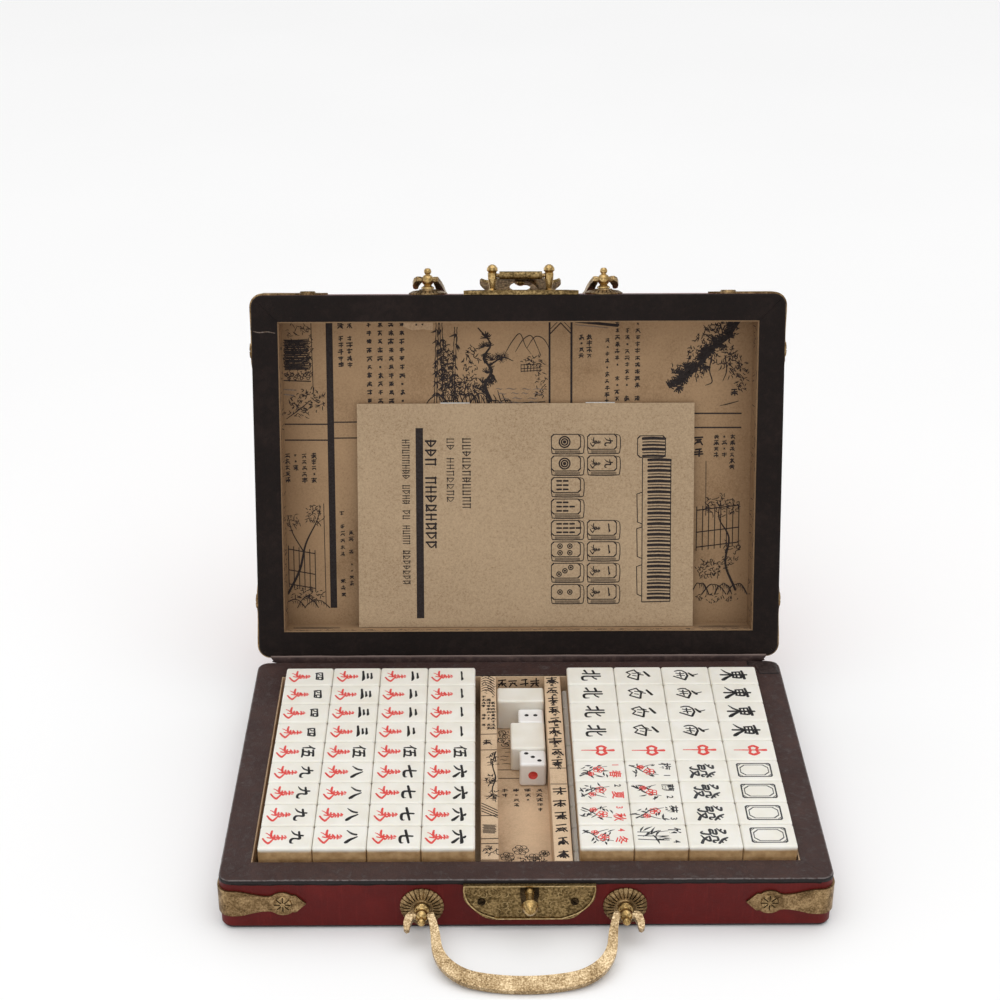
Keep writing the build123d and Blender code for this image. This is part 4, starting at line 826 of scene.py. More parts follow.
for i in range(4):
    for row in range(1, 10):
        j = 9 - row
        cx, cy = centre_of(RIGHT_X, BLOCK_Y, i, j)
        dx, dy = rng.uniform(-0.25, 0.25), rng.uniform(-0.3, 0.3)
        if row <= 4:
            sign, w, h = (("north", 8.8, 9.0), ("west", 8.6, 10.0), ("south", 8.4, 11.0), ("east", 9.6, 11.6))[i]
            brush(inks["black"], sign, cx + dx, cy + dy, w, h, 0.1, rng, 1.08 if sign in ("west", "south") else 1.36)
        elif row == 5:
            brush(inks["red"], "red", cx + dx, cy + dy, 7.4, 13.4, 0.08, rng, 1.0)
        elif i < 2:
            flower_tile(i, row, cx + dx, cy + dy)
        elif i == 2:
            brush(inks["grey"], "green", cx + dx, cy + dy, 10.2, 10.2, 0.1, rng, 1.62)
        else:
            w, h = 9.9, 14.0
            inks["grey"].frame(cx - w / 2, cy - h / 2, cx + w / 2, cy + h / 2, 0.6, 0.7)
            inks["grey"].frame(cx - w / 2 + 1.2, cy - h / 2 + 1.2, cx + w / 2 - 1.2, cy + h / 2 - 1.2, 0.36, 1.9)
            for sx in (-1, 1):
                for sy in (-1, 1):
                    inks["grey"].line(cx + sx * (w / 2 - 0.6), cy + sy * (h / 2 - 1.9), cx + sx * (w / 2 - 1.9),
                                      cy + sy * (h / 2 - 0.6), 0.3)
put_inks(inks, "signs_right_upper", "tile_layer_right_upper")

# ---- lower layers: circles on the left, canes on the right -------------------
SPOTS = {1: [(0, 0)], 2: [(0, 0.5), (0, -0.5)], 3: [(-0.6, 0.7), (0, 0), (0.6, -0.7)],
         4: [(-0.45, 0.55), (0.45, 0.55), (-0.45, -0.55), (0.45, -0.55)],
         5: [(-0.5, 0.65), (0.5, 0.65), (0, 0), (-0.5, -0.65), (0.5, -0.65)],
         6: [(-0.4, 0.75), (0.4, 0.75), (-0.4, 0), (0.4, 0), (-0.4, -0.75), (0.4, -0.75)],
         7: [(-0.7, 0.85), (0, 0.65), (0.7, 0.45), (-0.4, -0.25), (0.4, -0.25), (-0.4, -0.85), (0.4, -0.85)],
         8: [(-0.4, 0.9), (0.4, 0.9), (-0.4, 0.3), (0.4, 0.3), (-0.4, -0.3), (0.4, -0.3), (-0.4, -0.9), (0.4, -0.9)],
         9: [(-0.7, 0.8), (0, 0.8), (0.7, 0.8), (-0.7, 0), (0, 0), (0.7, 0), (-0.7, -0.8), (0, -0.8), (0.7, -0.8)]}
for side, x0, y0, z in (("left", LEFT_X - 0.4, BLOCK_Y + 0.2, Z_TOP_LOW), ("right", RIGHT_X - 2.0, BLOCK_Y - 0.6, Z_TOP_LOW)):
    inks = tile_inks(z)
    for i in range(4):
        for j in range(9):
            cx, cy = centre_of(x0, y0, i, j)
            count = j + 1
            for q, (u, v) in enumerate(SPOTS[count]):
                ink = inks[("green", "red", "black")[(q + count) % 3]]
                x, y = cx + u * 5.0, cy + v * 7.4
                if side == "left":
                    r = 4.4 if count == 1 else (2.3 if count < 4 else 1.55)
                    ink.ring(x, y, r, 0.45, n=18)
                    ink.disc(x, y, r * 0.45, n=12)
                    if count == 1:
                        ink.ring(x, y, r * 0.7, 0.4, n=18)
                else:
                    ln = 4.6 if count < 4 else (3.2 if count < 7 else 2.4)
                    ink.stroke([(x, y - ln / 2, 1.0), (x, y - ln * 0.1, 0.5), (x, y, 1.0), (x, y + ln * 0.1, 0.5),
                                (x, y + ln / 2, 1.0)], per=3)
    put_inks(inks, f"signs_{side}_lower", f"tile_layer_{side}_lower")


# ---------------------------------------------------------------------------
# dice: paint in the drilled spots
# ---------------------------------------------------------------------------
DICE = {1: [(0, 0)], 2: [(-0.7, 0), (0.7, 0)], 3: [(-1, 1), (0, 0), (1, -1)],
        4: [(-1, -1), (-1, 1), (1, -1), (1, 1)], 5: [(-1, -1), (-1, 1), (1, -1), (1, 1), (0, 0)],
        6: [(-1, -1), (-1, 0), (-1, 1), (1, -1), (1, 0), (1, 1)]}


def dish(verts, faces, c, u, v, n, r, deep):
    """A shallow bowl of paint: its edge a little under the surface."""
    rings, seg = [(1.0, 0.04), (0.85, 0.45), (0.55, 0.8), (0.22, 0.97)], 16
    k = len(verts)
    for f, d in rings:
        for q in range(seg):
            a = 2 * math.pi * q / seg
            verts.append(c + u * (r * f * math.cos(a)) + v * (r * f * math.sin(a)) - n * (deep * d))
    verts.append(c - n * deep)
    for i in range(len(rings) - 1):
        for q in range(seg):
            p = (q + 1) % seg
            faces.append([k + i * seg + q, k + i * seg + p, k + (i + 1) * seg + p, k + (i + 1) * seg + q])
    last = k + (len(rings) - 1) * seg
    for q in range(seg):
        faces.append([last + q, last + (q + 1) % seg, k + len(rings) * seg])


def dice_paint(name, body, centre, faces6):
    sets = {"red": ([], []), "black": ([], [])}
    for n, zd, xd in faces6:
        z, x = Vector(zd), Vector(xd)
        y = z.cross(x)
        c = Vector(centre) + z * 5.6
        r, deep = (2.0, 0.9) if n == 1 else (0.95, 0.5)
        key = "red" if n in (1, 4) else "black"
        for a, b in DICE[n]:
            dish(*sets[key], c + x * (2.7 * a) + y * (2.7 * b), x, y, z, r * 0.985, deep * 0.62)
    for key, (vs, fs) in sets.items():
        me = bpy.data.meshes.new(f"{name}_{key}")
        me.from_pydata([v * MM for v in vs], [], fs)
        me.materials.append(INK_RED if key == "red" else INK_BLACK)
        for p in me.polygons:
            p.use_smooth = True
        ob = bpy.data.objects.new(f"{name}_{key}", me)
        SCENE.collection.objects.link(ob)
        s = ob.modifiers.new("thickness", "SOLIDIFY")
        s.thickness, s.offset = 0.03 * MM, -1.0
        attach(ob, body)


dice_paint("die_a_paint", "die_a", (4.8, 46.5, Z_LOW + 5.6),
           ((2, (0, 0, 1), (1, 0, 0)), (5, (0, 0, -1), (1, 0, 0)), (3, (0, -1, 0), (1, 0, 0)),
            (4, (0, 1, 0), (1, 0, 0)), (6, (1, 0, 0), (0, 1, 0)), (1, (-1, 0, 0), (0, 1, 0))))
dice_paint("die_b_paint", "die_b", (4.8, 13.9, Z_LOW + 5.6),
           ((3, (0, 0, 1), (1, 0, 0)), (4, (0, 0, -1), (1, 0, 0)), (1, (0, -1, 0), (1, 0, 0)),
            (6, (0, 1, 0), (1, 0, 0)), (5, (1, 0, 0), (0, 1, 0)), (2, (-1, 0, 0), (0, 1, 0))))


# ---------------------------------------------------------------------------
# prints on the paper linings: rules, columns of small signs, rocks and plants
# ---------------------------------------------------------------------------
def mark(ink, x, y, s, rng, w):
    """One small printed sign that means nothing: a few short strokes in a square of side s."""
    kind = rng.random()
    w *= 1.08
    rows = rng.choice((2, 2, 3))
    for q in range(rows):
        yy = y + s * (0.38 - 0.76 * (q + rng.uniform(0.1, 0.5)) / rows)
        a = rng.uniform(0.25, 0.48) * s
        ink.line(x - a, yy - 0.04 * s, x + a * rng.uniform(0.7, 1.0), yy + rng.uniform(0, 0.08) * s, w)
    if kind < 0.75:
        xx = x + rng.uniform(-0.12, 0.12) * s
        ink.line(xx, y + s * rng.uniform(0.3, 0.5), xx + rng.uniform(-0.05, 0.05) * s, y - s * rng.uniform(0.3, 0.5), w)
    if kind > 0.3:
        for sx in (-1, 1):
            ink.line(x + sx * 0.06 * s, y + rng.uniform(-0.1, 0.15) * s, x + sx * rng.uniform(0.3, 0.46) * s,
                     y - rng.uniform(0.3, 0.48) * s, w * 0.9)


def column(ink, x, top, bottom, s, pitch, rng, w, gaps=0.06):
    y = top - s / 2
    while y - s / 2 > bottom - 0.01:
        if rng.random() >= gaps:
            k = 0.36 if rng.random() < 0.14 else rng.uniform(0.84, 1.04)
            mark(ink, x + rng.uniform(-0.1, 0.1), y, s * k, rng, w * max(k, 0.7))
        y -= pitch


def foliage(ink, cx, cy, rx, ry, n, rng, ln=1.7, w=0.34):
    for _ in range(n):
        a, r = rng.uniform(0, 6.28), math.sqrt(rng.random())
        x, y = cx + rx * r * math.cos(a), cy + ry * r * math.sin(a)
        b, c = rng.uniform(0, 6.28), rng.uniform(-0.6, 0.6)
        l = ln * rng.uniform(0.5, 1.2)
        ink.stroke([(x, y, w * 0.6), (x + l * (0.5 * math.cos(b) - 0.3 * c * math.sin(b)),
                                      y + l * (0.5 * math.sin(b) + 0.3 * c * math.cos(b)), w),
                    (x + l * math.cos(b), y + l * math.sin(b), w * 0.3)], per=2)


def rocks(ink, x0, y0, width, height, n, rng, w=0.34):
    """Overlapping humps with hatching on one side."""
    for q in range(n):
        cx = x0 + width * (q + 0.5) / n + rng.uniform(-0.1, 0.1) * width
        rw = width / n * rng.uniform(0.7, 1.0)
        rh = height * rng.uniform(0.55, 1.0)
        pts = []
        for i in range(7):
            t = i / 6
            pts.append((cx + rw * (2 * t - 1), y0 + rh * math.sin(math.pi * t) ** 0.7 * rng.uniform(0.85, 1.1),
                        w * rng.uniform(0.7, 1.3)))
        ink.stroke(pts, per=3)
        for i in range(5):
            t = 0.45 + 0.1 * i
            xx = cx + rw * (2 * t - 1)
            top = y0 + rh * math.sin(math.pi * t) ** 0.7
            ink.stroke([(xx, top - 0.5, w * 0.9), (xx + 0.35, top - rh * 0.3, w * 0.6),
                        (xx + 0.2, top - rh * rng.uniform(0.4, 0.7), w * 0.3)], per=2)


def bamboo(ink, x, y0, y1, rng, w=0.45, lean=0.0):
    """A jointed cane with pointed leaves."""
    y, n = y0, 0
    while y < y1:
        l = min(rng.uniform(3.6, 5.2), y1 - y)
        dx = lean * (y - y0)
        for sx in (-0.55, 0.55):
            ink.stroke([(x + dx + sx * 1.1, y + 0.15, w * 0.9), (x + dx + lean * l / 2 + sx * 0.8, y + l / 2, w * 0.6),
                        (x + dx + lean * l + sx * 1.1, y + l - 0.15, w * 0.9)], per=2)
        if n:
            for _ in range(4):
                leaf(ink, x + dx, y, rng.uniform(-2.4, -0.5) if rng.random() < 0.5 else rng.uniform(3.6, 5.4),
                     rng.uniform(2.2, 4.0), w * 1.3)
        y += l
        n += 1


def pine(ink, pts, rng, w=0.8, fans=14, size=2.6):
    """A crooked bough with fans of needles."""
    ink.stroke([(x, y, w * k) for (x, y), k in zip(pts, np.linspace(1.4, 0.5, len(pts)))], per=4)
    s = smooth_path([(x, y, 0) for x, y in pts], 6)
    for q in range(fans):
        x, y, _ = s[int(rng.uniform(0.1, 1.0) * (len(s) - 1))]
        x, y = x + rng.uniform(-2.6, 2.6), y + rng.uniform(-2.2, 2.2)
        a0 = rng.uniform(0, 6.28)
        for i in range(8):
            a = a0 + i * 0.36
            ink.line(x, y, x + size * math.cos(a) * rng.uniform(0.75, 1.05), y + size * math.sin(a) * rng.uniform(0.75, 1.05),
                     w * 0.32)


def fence(ink, x0, y0, x1, y1, n, w=0.35, slant=0.0):
    for q in range(n):
        x = x0 + (x1 - x0) * q / (n - 1)
        ink.line(x, y0 + slant * (x - x0), x, y1 + slant * (x - x0), w)
    for t in (0.08, 0.42, 0.92):
        y = y0 + (y1 - y0) * t
        ink.line(x0, y, x1, y + slant * (x1 - x0), w * 1.2)


def waves(ink, x0, x1, y, rng, w=0.28, rows=3, gap=1.6):
    for q in range(rows):
        x = x0 + rng.uniform(0, 3)
        while x < x1 - 2:
            l = rng.uniform(3, 8)
            yy = y - q * gap + rng.uniform(-0.3, 0.3)
            ink.stroke([(x, yy, w * 0.4), (x + l * 0.3, yy + 0.4, w), (x + l * 0.7, yy - 0.1, w),
                        (min(x + l, x1), yy + 0.3, w * 0.3)], per=2)
            x += l + rng.uniform(0.8, 2.5)


# ---- the lid's lining: x across, y = distance from the back edge ---------------
rng = random.Random(5)
dark = Ink((0, HINGE_Y, LID_FLOOR), (1, 0, 0), (0, -1, 0), OPENED)
soft = Ink((0, HINGE_Y, LID_FLOOR), (1, 0, 0), (0, -1, 0), OPENED, lift=0.05)
dark.bar(-84.9, 20.4, -81.9, 149.0)
for y in (103.8, 96.7):
    dark.line(-103.8, y, -84.5, y - 0.1, 0.6)
    dark.line(-82, y + 0.8, -62, y + 0.9, 0.55)
for y in (108.0, 101.7):
    dark.line(66, y, 99.6, y - 0.1, 0.65)
# far left, above the rules: a walled bank with hatching, pebbles and a shrub
for q in range(34):
    y = 127.9 + q * 0.4
    dark.stroke([(-103.6 + rng.uniform(-0.3, 0.5), y, 0.34), (-98, y + rng.uniform(-0.2, 0.2), 0.42),
                 (-92.2 + rng.uniform(-0.8, 0.3), y + rng.uniform(-0.1, 0.3), 0.3)], per=2)
for q in range(9):
    dark.ring(-103 + q * 1.4 + rng.uniform(-0.2, 0.2), 125.6 - (q % 2) * 1.5, 0.62, 0.32, n=9)
foliage(dark, -97.8, 134.6, 5.6, 6.4, 150, rng, 1.5, 0.46)
foliage(dark, -97.6, 125.6, 6.2, 2.4, 60, rng, 1.3, 0.36)
foliage(dark, -91.9, 137, 1.0, 11, 46, rng, 1.4, 0.36)
dark.line(-103.8, 123.2, -92.0, 122.8, 0.5)
dark.line(-91.4, 148.8, -90.9, 117.5, 0.32)
foliage(dark, -98, 145.4, 6.0, 3.0, 26, rng, 2.4, 0.3)
foliage(dark, -93.5, 114.2, 8.0, 5.0, 92, rng, 1.9, 0.44)
foliage(dark, -98, 108.6, 5.5, 1.8, 20, rng, 1.8, 0.36)
dark.stroke([(-103, 106.2, 0.3), (-97, 110.5, 0.5), (-92, 114.5, 0.3)])
soft.line(-104, 119.3, -98.5, 118.9, 0.5)
soft.line(-104, 117.1, -99.5, 116.6, 0.5)
for x, top, low in ((-103.0, 91.2, 76.2), (-99.4, 91.2, 82.5), (-95.5, 91.0, 76.0), (-91.2, 91.0, 76.0)):
    column(dark, x, top, low, 2.7, 2.75, rng, 0.42, 0)
# below: a garden fence, a bending tree
fence(dark, -103.5, 30, -91.5, 49, 6, 0.4, -0.18)
dark.stroke([(-104, 27, 1.0), (-98.5, 38, 1.1), (-95.5, 50, 0.8), (-90.5, 60, 0.5), (-88.6, 67, 0.3)])
dark.stroke([(-96.5, 46, 0.6), (-101.5, 55, 0.45), (-103.4, 63, 0.25)])
foliage(dark, -91.5, 63, 4.0, 4.6, 50, rng, 1.8, 0.4)
foliage(dark, -101.3, 60, 3.0, 4.0, 30, rng, 1.7, 0.36)
foliage(dark, -96, 27, 7.5, 3.4, 62, rng, 1.6, 0.42)
rocks(dark, -104, 20.5, 17, 5, 3, rng, 0.45)
dark.line(-87.2, 68, -86.9, 22, 0.32)
column(dark, -78.9, 65, 24.5, 2.5, 3.1, rng, 0.4, 0.25)
column(dark, -75.0, 56, 30, 2.3, 2.9, rng, 0.36, 0.2)
# right of the bar: columns
for x in (-78.3, -74.4):
    column(dark, x, 148.8, 145.6, 2.9, 3.0, rng, 0.5, 0)
    column(dark, x, 143.0, 128.4, 2.7, 2.9, rng, 0.52, 0)
for x in (-65.7, -60.9, -56.0, -51.2):
    column(dark, x, 149.0, 104, 2.45, 3.75, rng, 0.54, 0.04)
for x in (-44.8, -42.0):
    column(dark, x, 148.8, 144, 2.3, 2.6, rng, 0.4, 0)
# the middle scene: canes and a pine over rocks, a stream and far hills
for x, top, lean in ((-36.6, 148.6, 0.03), (-32.6, 148.6, -0.04), (-29.0, 146.5, 0.05)):
    bamboo(dark, x, 113, top, rng, 0.5, lean)
rocks(dark, -38, 111, 24, 6.5, 4, rng, 0.5)
foliage(dark, -26, 118.5, 9.5, 3.4, 88, rng, 1.7, 0.42)
foliage(dark, -33.5, 126.0, 4.4, 5.0, 46, rng, 2.0, 0.42)
# a bank with thick growth between the canes and the pine
foliage(dark, -31.5, 129.5, 3.2, 9.5, 110, rng, 1.8, 0.46)
foliage(dark, -24.5, 120.5, 8.5, 4.6, 170, rng, 1.6, 0.46)
foliage(dark, -20.5, 131.5, 3.6, 6.5, 60, rng, 1.7, 0.42)
for q in range(16):
    x = -35.5 + 1.9 * q
    dark.stroke([(x, 117.4 + rng.uniform(-1.2, 1.2), 0.3), (x + 1.1, 114.6, 0.5), (x + rng.uniform(0.6, 2.4), 112.2, 0.3)], per=2)
pine(dark, [(-12, 114), (-14.5, 121), (-11.5, 127), (-15.0, 133), (-12, 139), (-17.5, 146)], rng, 1.15, 16, 2.7)
pine(dark, [(-12, 130), (-6.5, 133), (-2, 131.5)], rng, 0.6, 6, 2.3)
rocks(dark, -12, 111, 10, 4.5, 2, rng, 0.45)
waves(soft, -10, 12, 119, rng, 0.4, 4, 2.0)
for q in range(3):
    dark.stroke([(-6 + 5 * q, 134 + 1.5 * q, 0.25), (-2.5 + 5 * q, 140 + q, 0.42), (1 + 5 * q, 143.5 - q, 0.42),
                 (3.5 + 5 * q, 138, 0.3), (6 + 4 * q, 134.5, 0.2)])
foliage(dark, 7.5, 131.5, 5.2, 2.6, 36, rng, 1.7, 0.4)
foliage(dark, 10.3, 121, 2.6, 6.0, 34, rng, 1.7, 0.4)
fence(dark, 1.5, 126.6, 10, 130.0, 7, 0.3, 0.05)
dark.line(-4, 112.6, 12.2, 113.4, 0.45)
# upright pair of rules with a pointed top
for x, w in ((14.2, 0.85), (23.9, 0.95)):
    dark.line(x, 104, x - 0.1, 148.9, w)
dark.line(14.2, 143.2, 19.0, 148.2, 0.5)
dark.line(19.0, 148.2, 23.8, 143.2, 0.5)
dark.line(14.6, 145.6, 18.0, 149.0, 0.3)
dark.line(20.0, 149.0, 23.4, 145.6, 0.3)
dark.line(25.6, 148.9, 44.2, 146.9, 1.3)
soft.line(25.6, 147.3, 40, 145.9, 0.35)
for x in (28.3, 31.8):
    column(dark, x, 143.2, 130.2, 2.6, 2.7, rng, 0.42, 0)
column(dark, 39.8, 144.6, 104, 2.3, 3.0, rng, 0.42, 0.2)
for x in (44.2, 48.6, 53.2):
    column(dark, x, 148.9, 104, 2.4, 3.0, rng, 0.42, 0.1)
# right: a pine bough over a bank
pine(dark, [(97.5, 149), (92, 141), (86.5, 137.5), (82, 131), (75, 125.5), (67.5, 119.5)], rng, 1.7, 40, 2.9)
foliage(dark, 87, 140, 9.5, 6.5, 90, rng, 2.0, 0.5)
foliage(dark, 75.5, 126.5, 8.0, 4.2, 66, rng, 1.9, 0.46)
foliage(dark, 94.5, 131, 4.6, 6.5, 84, rng, 1.9, 0.44)
foliage(dark, 90, 144.5, 8.0, 4.0, 90, rng, 1.7, 0.5)
foliage(dark, 82, 133.5, 7.5, 5.0, 90, rng, 1.7, 0.48)
foliage(dark, 99.5, 124.5, 3.0, 7.0, 60, rng, 1.7, 0.42)
dark.stroke([(86, 133, 0.6), (85.2, 127, 0.5), (86.4, 122, 0.5), (83.5, 120.4, 0.3)])
dark.stroke([(92, 133, 0.6), (92.8, 127, 0.5), (91.2, 122.4, 0.3)])
mark(dark, 96.4, 117.4, 3.4, rng, 0.5)
dark.stroke([(90, 111.3, 0.2), (94, 112.2, 0.5), (98.4, 113.4, 0.3)])
for x in (76.0, 80.9):
    for y in (95.8, 90.6):
        mark(dark, x, y, 4.3, rng, 0.7)
column(dark, 88.8, 98.8, 87.4, 2.5, 2.7, rng, 0.4, 0)
column(dark, 92.4, 98.8, 87.4, 2.5, 2.7, rng, 0.42, 0)
column(dark, 96.0, 98.8, 80.8, 2.5, 2.7, rng, 0.42, 0)
dark.line(84.3, 86.5, 84.6, 62, 0.32)
for x in (74.8, 77.2):
    dark.line(x, 80, x + 0.4, 20.5, 0.4 if x < 76 else 0.65)
fence(dark, 80.5, 46, 99.5, 66, 8, 0.42, 0.12)
dark.stroke([(98.6, 28, 1.1), (93.8, 40, 1.0), (95.2, 52, 0.8), (90.5, 61, 0.5), (91.5, 70, 0.3)])
foliage(dark, 91, 66, 8.4, 4.8, 80, rng, 1.9, 0.42)
foliage(dark, 87, 38, 7.0, 5.0, 70, rng, 1.8, 0.44)
foliage(dark, 96.5, 45, 4.4, 6.0, 50, rng, 1.8, 0.42)
rocks(dark, 79.5, 26, 22, 7, 4, rng, 0.5)
foliage(dark, 90, 24.5, 10.5, 2.2, 40, rng, 1.6, 0.4)
dark.make("lid_print", PRINT, "lid", slot="lining_paper")
# a paler scrap of the paper pasted over the top edge
scrap = Ink((0, HINGE_Y, LID_FLOOR), (1, 0, 0), (0, -1, 0), OPENED, lift=0.008)
scrap.poly([(-50.4, 149.5), (-50.9, 146.9), (-46.8, 145.2), (-41.5, 145.6), (-37.6, 145.0), (-37.3, 149.5)])
scrap.make("lid_paper_scrap", KRAFT_SCRAP, "lid", thick=0.006, slot="lining_paper")
# the lining's turned-up walls: worn specks along the edge, cut pieces of the same print
wall = Ink((0, IN_Y - LINING, 0), (1, 0, 0), (0, 0, 1), OPENED)
for q in range(330):
    x = rng.uniform(-104, 104)
    z = LID0 + 0.9 + rng.random() ** 2 * 3.0
    wall.line(x, z, x + rng.uniform(0.3, 1.8), z + rng.uniform(-0.25, 0.25), rng.uniform(0.18, 0.42))
for x0, x1 in ((-103.5, -77.5), (77.5, 103.5)):
    for q in range(5):
        wall.stroke([(x0 + rng.uniform(0, 4), LID0 + 5.2 + 0.9 * q, 0.25), ((x0 + x1) / 2, LID0 + 5.4 + 0.9 * q, 0.4),
                     (x1 - rng.uniform(0, 6), LID0 + 5.0 + 0.9 * q, 0.25)], per=3)
wall.make("lid_wall_print_back", PRINT, "lid", slot="lining_paper")
for name, sx in (("left", -1), ("right", 1)):
    side = Ink((sx * (IN_X - LINING), 0, 0), (0, sx, 0), (0, 0, 1), OPENED)
    for q in range(210):
        y = rng.uniform(-66, 66)
        z = LID0 + 0.9 + rng.random() ** 1.6 * 4.0
        side.line(y, z, y + rng.uniform(0.4, 2.4), z + rng.uniform(-0.3, 0.3), rng.uniform(0.2, 0.5))
    for q in range(90):
        y = rng.uniform(-66, 66)
        side.line(y, rng.uniform(LID0 + 5, LID_FLOOR - 1), y + rng.uniform(-1.5, 1.5), rng.uniform(LID0 + 5, LID_FLOOR - 1), 0.34)
    side.make(f"lid_wall_print_{name}", PRINT, "lid", slot="lining_paper")
soft.make("lid_print_soft", PRINT_SOFT, "lid", slot="lining_paper")

# ---- the dividers and the floor between them ---------------------------------
dark = Ink((0, 0, DIV_TOP), (1, 0, 0), (0, 1, 0))
for q in range(7):
    y = 53.5 + q * 2.0
    dark.stroke([(-16.6, y + 1.6, 0.3), (-14.8, y + 2.9, 0.55), (-12.6, y + 1.4, 0.6), (-10.9, y - 2.0 + q * 0.3, 0.3)])
foliage(dark, -13.6, 60, 2.6, 7, 26, rng, 1.8, 0.36)
for x in (-15.6, -13.5, -11.6):
    column(dark, x, 51.6, 22.6, 2.1, 2.5, rng, 0.42, 0.12)
for y in (20.7, 8.7, -38.2, -53.6, -56.8):
    dark.line(-16.9, y, -10.4, y + 0.2, 0.5)
mark(dark, -14.2, 14.6, 4.0, rng, 0.6)
dark.stroke([(-10.7, 7.6, 0.5), (-12.2, -2, 0.5), (-11.0, -12, 0.6), (-12.4, -20, 0.5), (-11.0, -29, 0.3)])
foliage(dark, -11.9, 2, 1.7, 5, 34, rng, 1.8, 0.46)
foliage(dark, -13.0, -13.5, 2.0, 3.2, 30, rng, 1.7, 0.5)
foliage(dark, -12.4, -24, 1.8, 3.6, 26, rng, 1.8, 0.46)
for q in range(4):
    dark.line(-16.7, -29.6 - 1.8 * q, -10.5, -34.6 - 1.6 * q, 0.5)
for q in range(14):
    dark.line(-16.4 + rng.uniform(0, 0.6), -44.2 - 0.42 * q, -10.8 - rng.uniform(0, 0.9), -44.5 - 0.42 * q, 0.26)
foliage(dark, -13.6, -61.5, 2.8, 3.4, 26, rng, 1.8, 0.44)
for q in range(9):
    mark(dark, 14.5 + rng.uniform(-0.2, 0.2), 64.0 - 8.1 * q, 5.9, rng, 0.74)
    mark(dark, 14.6, 62.6 - 8.1 * q, 3.4, rng, 0.5)
    mark(dark, 14.7 + rng.uniform(-0.5, 0.5), 60.0 - 8.1 * q, 1.9, rng, 0.34)
for y in (-4.9, -16.4):
    dark.line(11.3, y, 17.7, y, 0.5)
for q in range(6):
    mark(dark, 14.6 + rng.uniform(-0.2, 0.2), -21.0 - 8.5 * q, 5.6, rng, 0.7)
    mark(dark, 14.6 + rng.uniform(-0.4, 0.4), -22.4 - 8.5 * q, 3.0, rng, 0.5)
dark.make("divider_print", PRINT, "base", slot="lining_paper")

dark = Ink((0, 0, FLOOR), (1, 0, 0), (0, 1, 0))
for q in range(4):
    dark.spiral(-7.9 + 1.7 * (q % 2), 50.0 - 3.2 * q, 1.9, 1.4, 0.42, start=q)
foliage(dark, -6.6, 45.4, 3.0, 6, 46, rng, 1.7, 0.38)
waves(dark, -9.4, 10, 37.5, rng, 0.4, 5, 3.0)
for y in (21.0, 14.6):
    dark.line(-9.5, y, 10.3, y, 0.5)
for x, low in ((-7.0, 0.6), (-2.3, -9.6), (2.6, -3.0), (7.5, -9.8)):
    column(dark, x, 7.2, low, 3.0, 3.5, rng, 0.46, 0)
for x, y, r in ((-6.6, -40.5, 3.0), (-1.2, -36.2, 3.4), (4.2, -41.5, 3.0), (8.2, -38.6, 2.2)):
    for q in range(6):
        a = q * 1.047 + x
        dark.ring(x + r * 0.55 * math.cos(a), y + r * 0.55 * math.sin(a), r * 0.42, 0.32, n=10)
foliage(dark, 0.5, -45.5, 9.6, 4.5, 130, rng, 1.9, 0.42)
foliage(dark, 0, -58, 9.4, 7.5, 110, rng, 1.9, 0.42)
dark.make("floor_print", PRINT, "base", slot="lining_paper")
dark = Ink((0, IN_Y - LINING, 0), (1, 0, 0), (0, 0, 1))
for x in (-7.4, -2.6, 2.4, 7.2):
    mark(dark, x, 18.6, 4.6, rng, 0.6)
for x in (-60, -52, -44, 30, 38, 46, 60):
    mark(dark, x, 12.0, 4.6, rng, 0.5)
dark.make("wall_print", PRINT, "base", slot="lining_paper")

# ---- the booklet's cover: x from its left edge, y up from its lower edge -------
LEAN = math.atan2(6.75, 100.0)
rng = random.Random(8)
dark = Ink((3.5 - 75.0, IN_Y - LINING - 0.25, LID0 + 7.2), (1, 0, 0), (0, -math.cos(LEAN), math.sin(LEAN)), OPENED)
soft = Ink((3.5 - 75.0, IN_Y - LINING - 0.25, LID0 + 7.2), (1, 0, 0), (0, -math.cos(LEAN), math.sin(LEAN)), OPENED,
           lift=0.05)
dark.bar(26.0, 4.0, 29.3, 89.2)


def type_line(ink, x0, x1, top, low, pitch, rng, w, spaces=()):
    """A turned line of made-up type: heads to the right, read downwards."""
    n = int(round((top - low) / pitch))
    for q in range(n):
        if q in spaces:
            continue
        y = top - (q + 0.5) * pitch
        h = pitch * 0.36
        k = rng.random()
        ink.line(x0, y + h * 0.7, x1, y + h * 0.7, w)
        if k < 0.55:
            ink.line(x0, y - h * 0.7, x1, y - h * 0.7, w * 0.8)
        m = x0 + (x1 - x0) * rng.choice((0.06, 0.5, 0.94))
        ink.line(m, y + h, m, y - h, w * 0.8)
        if k > 0.4:
            ink.stroke([(x0 + (x1 - x0) * 0.1, y + h * 0.5, w * 0.7), (x0 + (x1 - x0) * 0.5, y - h * 0.9, w * 0.8),
                        (x0 + (x1 - x0) * 0.95, y + h * 0.3, w * 0.7)], per=3)


type_line(dark, 20.0, 23.2, 84.4, 18.8, 2.25, rng, 0.42, (8, 13, 16, 21))
type_line(dark, 30.4, 35.0, 84.4, 34.8, 4.1, rng, 0.85, (3,))
type_line(dark, 39.8, 43.0, 85.0, 56.2, 2.9, rng, 0.42, (2,))
type_line(dark, 46.8, 50.4, 85.0, 53.2, 2.9, rng, 0.5)


